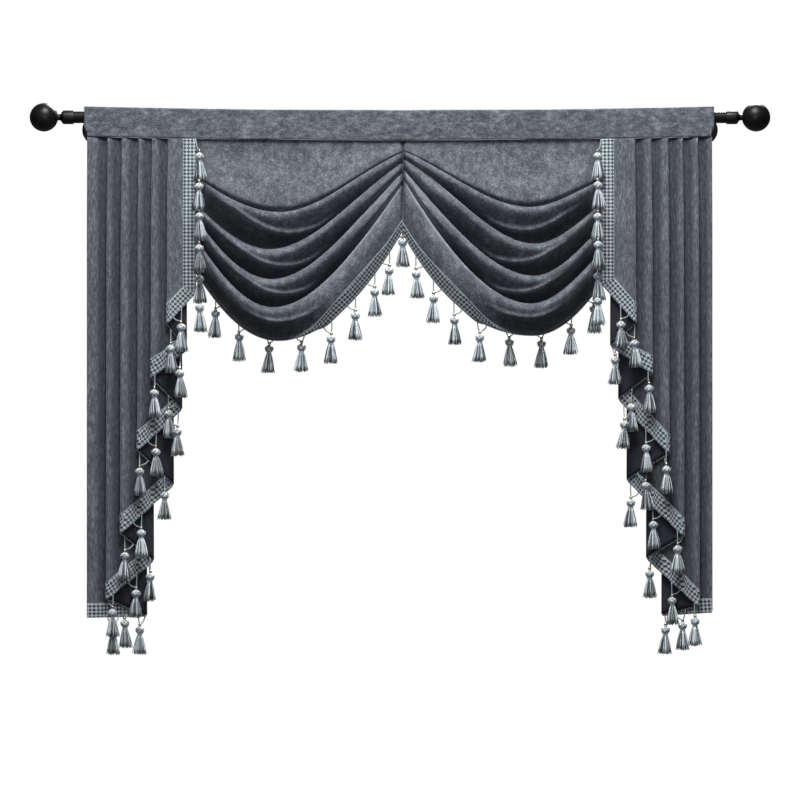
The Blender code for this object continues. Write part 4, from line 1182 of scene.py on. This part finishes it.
def tail_tassels(shape, cloth, others, trim):
    """Tassels down a tail's inner edge and along its stepped hem, at the places of the tables."""
    lift = bpy.context.scene.valance_cloth.thick / 2 + CORD_LIFT
    sign = SIDES[shape.side]
    end = shape.run[-1]
    made = []

    def on(run):
        """The point of the hem at a run, a little in front of the braid."""
        run = np.clip(run, 0, end)
        return shape.points(np.array(run), shape.hem_at(run) - BRAID_DROP, lift)

    corner = float(shape.hem_at(0.0))
    for height in EDGE_TASSELS[shape.side]:
        foot = shape.points(np.array(0.0), np.array(max(height * MM + EDGE_CORD, corner)), lift)
        feet = [foot, shape.points(np.array(0.0), np.array(max(height * MM + 4 * MM, corner)), lift)]
        x = -sign * CORD_OUT + foot[0]
        made.append(hang(lambda f: tassel_on(x, height * MM, foot[1], feet, cloth, f, trim), others, trim))
    for spot in HEM_TASSELS[shape.side]:
        pleat = int(spot)
        run = float(np.interp(spot, np.arange(len(shape.fold_runs)), shape.fold_runs))
        low, high = TAILS[shape.side][pleat], TAILS[shape.side][pleat + 1]
        step = np.array([high.out - low.out, high.hem_z - low.hem_z])
        slope = float(abs(step[1]) / np.linalg.norm(step))
        near = CORD_SPREAD * (1 - slope) ** 2

        def feet(drop):
            """Where the two cords leave the hem, one on each side of the place."""
            far = min(CORD_SIDE, CORD_SPREAD + drop * (1 - slope) * slope)
            return [on(run - near), on(run + far)]

        made.append(hang(lambda f: tassel_below(on(run), feet, slope, cloth, f, trim), others, trim))
    return made


def curved_cord(foot, bead, steps):
    """A cord from the braid to a bead: a parabola that leaves its foot downwards."""
    share = np.linspace(0, 1, steps)[:, None]
    foot, bead = np.array(foot), np.array(bead)
    fall = foot + ((bead - foot) * CORD_LEAVES - (0, 0, 2 * MM))
    return foot * (1 - share) ** 2 + fall * 2 * share * (1 - share) + bead * share**2


class VALANCE_OT_stage(bpy.types.Operator):
    """Sets the camera, the pale floor and the soft studio light"""

    bl_idname = "valance.stage"
    bl_label = "Camera, Floor and Light"

    def execute(self, context):
        studio = context.scene.valance_studio
        scene = context.scene
        data = bpy.data.cameras.new("camera")
        data.lens = studio.lens
        data.sensor_width = 36.0
        data.clip_end = 60.0
        away = studio.view_wide * studio.lens / data.sensor_width
        camera = bpy.data.objects.new("camera", data)
        camera.location = (0.0, -0.10 - away, studio.view_z)
        camera.rotation_euler = (math.pi / 2, 0.0, 0.0)
        scene.collection.objects.link(camera)
        scene.camera = camera

        corners = ((-1, -1), (1, -1), (1, 1), (-1, 1))
        points = [(x * FLOOR_HALF, y * FLOOR_HALF, studio.floor_z) for x, y in corners]
        mesh = bpy.data.meshes.new("floor")
        mesh.from_pydata(points, [], [(0, 1, 2, 3)])
        mesh.materials.append(pale_floor(studio))
        floor = bpy.data.objects.new("floor", mesh)
        scene.collection.objects.link(floor)

        world = bpy.data.worlds.new("studio")
        world.use_nodes = True
        nodes, links = world.node_tree.nodes, world.node_tree.links
        white = nodes["Background"]
        white.inputs["Color"].default_value = (1.0, 1.0, 1.0, 1.0)
        soft = nodes.new("ShaderNodeBackground")
        soft.inputs["Color"].default_value = (1.0, 1.0, 1.0, 1.0)
        soft.inputs["Strength"].default_value = studio.ambient
        seen = nodes.new("ShaderNodeLightPath").outputs["Is Camera Ray"]
        mixed = nodes.new("ShaderNodeMixShader")
        for value, socket in zip((seen, soft.outputs[0], white.outputs[0]), mixed.inputs):
            links.new(value, socket)
        links.new(mixed.outputs[0], nodes["World Output"].inputs["Surface"])
        scene.world = world
        scene.view_settings.view_transform = "Standard"

        for name, place, size, power in LAMPS:
            light = bpy.data.lights.new(name, "AREA")
            light.shape = "DISK"
            light.size = size
            light.energy = studio.key * power
            lamp = bpy.data.objects.new(name, light)
            lamp.location = place
            lamp.rotation_euler = (Vector(AIM) - Vector(place)).to_track_quat("-Z", "Y").to_euler()
            scene.collection.objects.link(lamp)
        return {"FINISHED"}


def finial_profile(fit):
    """A finial from the rod's end outwards: its bore, its collar, and the arc of its ball."""
    start = math.pi - math.asin(NECK_RADIUS / fit.ball_radius)
    ball = [
        (fit.ball_centre + fit.ball_radius * math.cos(a), max(POLE, fit.ball_radius * math.sin(a)))
        for a in np.linspace(start, 0, 30)
    ]
    bore = fit.rod_radius + FIT
    collar = (
        (fit.rod_half + FIT, POLE),
        (fit.rod_half + FIT, bore),
        (fit.collar_start, bore),
        (fit.collar_start, COLLAR_RADIUS),
        (fit.collar_end - 6 * MM, COLLAR_RADIUS),
        (fit.collar_end - 1.5 * MM, NECK_RADIUS + 3 * MM),
        (fit.collar_end, NECK_RADIUS),
        ball[0],
    )
    return np.concatenate([rounded(collar, 1.6 * MM)[:-1], ball])


def bracket_arm(fit):
    """A bracket's wall plate and stem, turned about y from the wall to under the rod."""
    stem = fit.stem_radius
    plate = (
        (0.0, POLE),
        (0.0, fit.plate_radius),
        (-4.0 * MM, fit.plate_radius),
        (-5.0 * MM, fit.plate_radius - 3 * MM),
        (-6.0 * MM, stem + 5 * MM),
        (-12 * MM, stem),
        (ROD_Y - 2 * MM, stem),
        (ROD_Y - 4 * MM, stem - 2.5 * MM),
        (ROD_Y - 4 * MM, POLE),
    )
    points, cells, uv, caps = turned(rounded(plate, 1.5 * MM), 48, "y")
    return points + (0, 0, PLATE_Z), cells, uv, caps


def bracket_post(fit):
    """The short upright post between a bracket's stem and its saddle."""
    post = rounded(((-34.4, 0.2), (-34.4, 6.0), (-15.5, 6.0), (-15.5, 0.2)), 1.0) * MM
    points, cells, uv, caps = turned(post, 32, "x")
    return points[:, [2, 1, 0]] + (0, ROD_Y, 0), cells, uv, caps


def bracket_saddle(fit):
    """The saddle under the rod: a rounded flat section carried round its lower half, and a little more."""
    around = np.radians(np.linspace(168, 372, 40))
    inner, outer, half = fit.rod_radius + FIT, 17.5 * MM, 8 * MM
    corners = ((-half, inner), (-half, outer), (half, outer), (half, inner), (-half, inner))
    loop = rounded(corners, 0.8 * MM)[1:]
    x = np.broadcast_to(loop[:, 0], (len(around), len(loop)))
    y = loop[:, 1] * np.cos(around)[:, None]
    z = loop[:, 1] * np.sin(around)[:, None]
    points = np.stack([x, y, z], axis=-1).reshape(-1, 3) + (0, ROD_Y, 0)
    uv = cell_uv(around, np.linspace(0, 1, len(loop) + 1))
    return points, grid_cells(len(around), len(loop), True), uv, end_caps(len(around), len(loop))


class VALANCE_OT_fittings(bpy.types.Operator):
    """Turns the rod, the ball finials and the wall brackets"""

    bl_idname = "valance.fittings"
    bl_label = "Rod, Finials and Brackets"

    def execute(self, context):
        fit = context.scene.valance_fittings
        metal = black_metal(fit)
        half, radius = fit.rod_half, fit.rod_radius
        ends = ((-half, POLE), (-half, radius), (half, radius), (half, POLE))
        rod = self.make("rod_bar", metal, turned(rounded(ends, 1.5 * MM), fit.steps, "x"), (0, ROD_Y, 0))
        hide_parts("rod")

        for side, sign in SIDES.items():
            points, *others = turned(finial_profile(fit), fit.steps, "x")
            parts = (points * (sign, 1, 1), *others)
            finial = self.make(f"ball_finial_{side}", metal, parts, (0, ROD_Y, 0))
            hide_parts(f"finial_{side}")

            parts = gathered(outward(*part(fit)) for part in (bracket_arm, bracket_post, bracket_saddle))
            bracket = self.make(f"wall_bracket_{side}", metal, parts, (sign * BRACKET_X, 0, 0))
            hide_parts(f"bracket_{side}")
        return {"FINISHED"}

    def make(self, name, metal, parts, shift):
        """A metal piece moved to its place, with its edges kept crisp."""
        points, cells, uv, caps = parts
        piece = make_piece(name, points + shift, cells, metal, uv, caps=caps)
        piece.data.set_sharp_from_angle(angle=CRISP)
        return piece


class VALANCE_OT_heading(bpy.types.Operator):
    """Sews the heading band, a rod pocket that is cut away behind at both brackets"""

    bl_idname = "valance.heading"
    bl_label = "Heading Band"

    def execute(self, context):
        cloth = context.scene.valance_cloth
        section = band_section(104)
        stations = np.linspace(BAND_LEFT, BAND_RIGHT, 201)
        dips = waves(3, 16, 1.0, 7.0)
        x = np.broadcast_to(stations[:, None], (len(stations), len(section))).copy()
        z = section[:, 1] + (band_bottom(x) - BAND_BOTTOM) * section[:, 2]
        outer = section[:, 2] * (section[:, 0] < -16 * MM)
        y = ROD_Y + section[:, 0] - BAND_WAVE * outer * (1 + ripple(x * 0.9, z * 3.0, dips))
        z = z + BAND_DIP * outer * ripple(x, 0 * z, dips)
        ends = ease((CORNER_TOP - section[:, 1]) / CORNER_TALL) * BAND_CORNER
        x[0] += ends
        x[-1] -= ends
        x[1:-1] = np.clip(x[1:-1], x[0], x[-1])
        grid = np.stack([x, y, z], axis=-1)
        keep = np.ones((len(stations) - 1, len(section)), bool)
        middle = 0.5 * (section[:, 0] + np.roll(section[:, 0], -1))
        centre = 0.5 * (stations[1:] + stations[:-1])
        keep[np.ix_(np.abs(centre) > NOTCH_NEAR, middle > NOTCH_FRONT)] = False
        cells = grid_cells(len(stations), len(section), True)[keep.ravel()]
        used = np.unique(cells)
        renumber = np.zeros(grid.shape[0] * grid.shape[1], int)
        renumber[used] = np.arange(len(used))
        points = grid.reshape(-1, 3)[used]
        cells = renumber[cells]
        # Painted shade along the band's top edge, where the cloth turns over: the highest few millimetres
        # are mixed most of the way to the dark wrong side's colour
        top = 0.8 * ease((points[:, 2] - points[:, 2].max() + 2.6 * MM) / (1.2 * MM))
        material = chenille("chenille_heading", cloth, (0.9, 1.5, 1.5), 0.55)
        band = make_piece("heading_cloth", points, cells, material, tint=top)
        wall = band.modifiers.new("Thickness", "SOLIDIFY")
        wall.thickness = cloth.band_thick
        wall.offset = 0.0
        wall.use_rim = True
        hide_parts("heading_band")
        return {"FINISHED"}


class VALANCE_OT_swags(bpy.types.Operator):
    """Drapes the two swags between the middle seam and the tails"""

    bl_idname = "valance.swags"
    bl_label = "Swags"

    def execute(self, context):
        cloth = context.scene.valance_cloth
        material = chenille("chenille_swags", cloth, (1, 1, 0.8), 0.42)
        for side in SIDES:
            shape = SwagShape(side, cloth.swag_columns)
            grid = swag_grid(shape, cloth.fold_rows)
            normal = sheet_normals(grid) * cloth.thick / 2
            points, cells = closed_sheet(grid + normal, grid - normal)
            # Painted shade, from swag_shade, mixed into the cloth's colour by the chenille material; the
            # back takes the wrong side's colour
            shade = shading(swag_shade(shape, cloth.fold_rows))
            piece = make_piece(f"swag_cloth_{side}", points, cells, material, tint=shade)
            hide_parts(f"swag_{side}")
        self.tape(material)
        return {"FINISHED"}

    def tape(self, material):
        """A narrow tape behind the middle seam, from the heading to where the hems meet."""
        across = np.linspace(-TAPE_HALF, TAPE_HALF, 5)
        down = np.linspace(band_bottom(0.0) - FIT, (CRESTS["left"][4].seam_z - 2) * MM, 24)
        x, z = np.meshgrid(SEAM_X + across, down)
        grid = np.stack([x, TAPE_Y + 0 * x, z], axis=-1)
        normal = sheet_normals(grid) * TAPE_THICK / 2
        points, cells = closed_sheet(grid + normal, grid - normal)
        # The tape takes the dark wrong side's colour all over, which also serves as painted shade deep in
        # the seam's gap
        piece = make_piece("seam_tape", points, cells, material, tint=np.ones(len(points)))


class VALANCE_OT_tails(bpy.types.Operator):
    """Folds the two cascade tails in knife pleats"""

    bl_idname = "valance.tails"
    bl_label = "Tails"

    def execute(self, context):
        cloth = context.scene.valance_cloth
        material = chenille("chenille_tails", cloth, (1, 1, 0.22), 0.18)
        for side in SIDES:
            shape = TailShape(side, cloth.tail_step)
            z = shape.rows(cloth.tail_rows)
            sides = (shape.points(shape.run, z, lift) for lift in (cloth.thick / 2, -cloth.thick / 2))
            points, cells = closed_sheet(*sides)
            # Painted shade on the face: darker the more layers of the pleats cover a place, as though
            # shadowed by the folds in front; the back takes the wrong side's colour
            shade = shading(np.broadcast_to(TAIL_SHADE * np.clip(shape.layers, 0, 1) ** 1.5, z.shape))
            piece = make_piece(f"tail_cloth_{side}", points, cells, material, tint=shade)
            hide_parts(f"tail_{side}")
        return {"FINISHED"}


def braid_parts(face, along, trim, lift):
    """A woven strip on the cloth's face, rows across and columns along, between lift and its own
    thickness above that. face(height) gives the points of its grid.

    run and down are the distances along the strip and square to it. The relief is a cushion on each
    check of the weave, |sin sin|. Returns the strip's arrays and the two lines of its edges.
    """
    low, high = lift, lift + trim.braid_thick
    middle = face(0.5 * (low + high))
    count = along.size * middle.shape[0]
    steps = np.diff(middle[::-1], axis=0)
    slide = (steps * unit(np.gradient(middle[-1], axis=0))).sum(axis=-1)
    rise = np.sqrt(np.maximum((steps**2).sum(axis=-1) - slide**2, 0))
    none = np.zeros((1, along.size))
    down = np.concatenate([none, np.cumsum(rise, axis=0)])[::-1]
    run = along + np.concatenate([none, np.cumsum(slide, axis=0)])[::-1]
    a, b = down + run, down - run
    side = trim.braid_cell * math.sqrt(2) / 2
    cushion = np.abs(np.sin(math.pi * a / side / 2) * np.sin(math.pi * b / side / 2))
    front = face(high)
    front = front + (face(high + CUSHION) - front) * cushion[..., None]
    points, cells = closed_sheet(front, face(low))
    pair = np.stack([run, down], axis=-1).reshape(-1, 2)
    uv = np.concatenate([pair, pair])[cells.ravel() % (2 * count)]
    return points, cells, uv, [middle[0], middle[-1]]


def spaced(line):
    """A line of points without repeats, which would leave a tube with no direction there."""
    keep = np.concatenate([[True], np.linalg.norm(np.diff(line, axis=0), axis=1) > 0.15 * MM])
    return line[keep]


class VALANCE_OT_braids(bpy.types.Operator):
    """Sews the woven braid and its piping along the swags' hems and the tails' edges"""

    bl_idname = "valance.braids"
    bl_label = "Braids"

    def execute(self, context):
        cloth, trim = context.scene.valance_cloth, context.scene.valance_trim
        weave = braid_weave(trim)
        cord = twisted_yarn("piping_yarn", trim.slate, trim.silver, 5 * MM, 0.5)
        lift = cloth.thick / 2 + BRAID_LIFT
        for side in SIDES:
            shape = SwagShape(side, 420)
            keep = shape.x <= HEM_BRAID_END * shape.wide
            grid = swag_braid_grid(shape, BRAID_ROWS)
            normal = sheet_normals(grid)
            grid, normal = grid[:, keep], normal[:, keep]
            along = lengths_along(grid[-1])
            self.sew(f"swag_{side}", lambda h: grid + normal * h, along, lift, trim, weave, cord)

            tail = TailShape(side, cloth.tail_step)
            outer, inner, at = tail.braid_path(trim.braid_step, trim.braid_wide)
            share = np.linspace(0, 1, BRAID_ROWS)[:, None]
            runs = inner[:, 0] * (1 - share) + outer[:, 0] * share
            zs = inner[:, 1] * (1 - share) + outer[:, 1] * share
            self.sew(f"tail_{side}", lambda h: tail.points(runs, zs, h), at, lift, trim, weave, cord)
        return {"FINISHED"}

    def sew(self, name, face, along, lift, trim, weave, cord):
        """Makes one strip and the piping on both its edges."""
        points, cells, uv, edges = braid_parts(face, along, trim, lift)
        strip = make_piece(f"braid_{name}", points, cells, weave, uv)
        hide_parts(f"fringe_{name}")
        made = gathered([tube(spaced(edge), trim.piping_radius, 7) for edge in edges])
        piping = make_piece(f"piping_{name}", made[0], made[1], cord, made[2], caps=made[3])


class VALANCE_OT_tassels(bpy.types.Operator):
    """Hangs the tassels with their beads and cords"""

    bl_idname = "valance.tassels"
    bl_label = "Tassels"

    def execute(self, context):
        cloth, trim = context.scene.valance_cloth, context.scene.valance_trim
        yarn, gold = tassel_yarn(trim), gold_bead(trim)
        cord = twisted_yarn("cord_yarn", trim.slate, trim.silver, 4 * MM, 0.6)
        for order, side in enumerate(SIDES):
            swag = SwagShape(side, 80)
            tail = TailShape(side, 20 * MM, 3)
            rows = tail.rows(60)
            behind_tail = tail.points(tail.run, rows, 0.0).reshape(-1, 3)
            behind_both = np.concatenate([behind_tail, swag_grid(swag, 12).reshape(-1, 3)])
            others = []
            on_tail = tail_tassels(tail, behind_both, others, trim)
            on_swag = swag_tassels(swag, behind_tail, others, trim)
            self.hang_all(f"tail_{side}", on_tail, 100 + order, trim, yarn, gold, cord)
            self.hang_all(f"swag_{side}", on_swag, 200 + order, trim, yarn, gold, cord)
        return {"FINISHED"}

    def hang_all(self, name, tassels, seed, trim, yarn, gold, cord):
        """Makes the bodies, beads and cords of one edge's tassels, each kind as one piece."""
        draw = np.random.default_rng(seed)
        ball, *around_ball = bead_ball(trim)
        bodies, tints, beads, cords = [], [], [], []
        for number, tassel in enumerate(tassels):
            centre = np.array(tassel.bead)
            parts, tint = tassel_body(trim, seed * 1000 + number, tassel.long)
            spin = draw.uniform(-0.05, 0.05, 2)
            for points, cells, caps in parts:
                lean = points.copy()
                lean[:, :2] += points[:, 2:] * -spin
                bodies.append((lean + centre, cells, np.zeros((len(cells) * 4, 2)), caps))
            tints.append(tint)
            beads.append((ball + centre, *around_ball))
            for foot in tassel.feet:
                cords.append(tube(curved_cord(foot, centre + (0, 0, 2 * MM), 9), trim.cord_radius, 6))
        for kind, parts, material, tint in (
            ("tassels", bodies, yarn, np.concatenate(tints)),
            ("beads", beads, gold, None),
            ("cords", cords, cord, None),
        ):
            points, cells, uv, caps = gathered(parts)
            piece = make_piece(f"{kind}_{name}", points, cells, material, uv, tint, caps)


class VALANCE_PT_sidebar(bpy.types.Panel):
    """Lists the steps that dress the valance"""

    bl_idname = "VALANCE_PT_sidebar"
    bl_label = "Swag Valance"
    bl_space_type = "VIEW_3D"
    bl_region_type = "UI"
    bl_category = "Valance"

    def draw(self, context):
        for settings in ("studio", "fittings", "cloth", "trim"):
            group = getattr(context.scene, f"valance_{settings}")
            column = self.layout.column(align=True)
            for name in group.__annotations__:
                column.prop(group, name)
        for step in STEPS:
            self.layout.operator(step.bl_idname)


GROUPS = {
    "valance_studio": StudioSettings,
    "valance_fittings": FittingSettings,
    "valance_cloth": ClothSettings,
    "valance_trim": TrimSettings,
}
STEPS = (
    VALANCE_OT_stage,
    VALANCE_OT_fittings,
    VALANCE_OT_heading,
    VALANCE_OT_swags,
    VALANCE_OT_tails,
    VALANCE_OT_braids,
    VALANCE_OT_tassels,
)


def register():
    for kind in (*GROUPS.values(), *STEPS, VALANCE_PT_sidebar):
        bpy.utils.register_class(kind)
    for name, group in GROUPS.items():
        setattr(bpy.types.Scene, name, bpy.props.PointerProperty(type=group))


def unregister():
    for name in GROUPS:
        delattr(bpy.types.Scene, name)
    for kind in (VALANCE_PT_sidebar, *reversed(STEPS), *reversed(GROUPS.values())):
        bpy.utils.unregister_class(kind)


def main():
    register()
    bpy.ops.valance.stage()
    bpy.ops.valance.fittings()
    bpy.ops.valance.heading()
    bpy.ops.valance.swags()
    bpy.ops.valance.tails()
    bpy.ops.valance.braids()
    bpy.ops.valance.tassels()


if __name__ == "__main__":
    main()
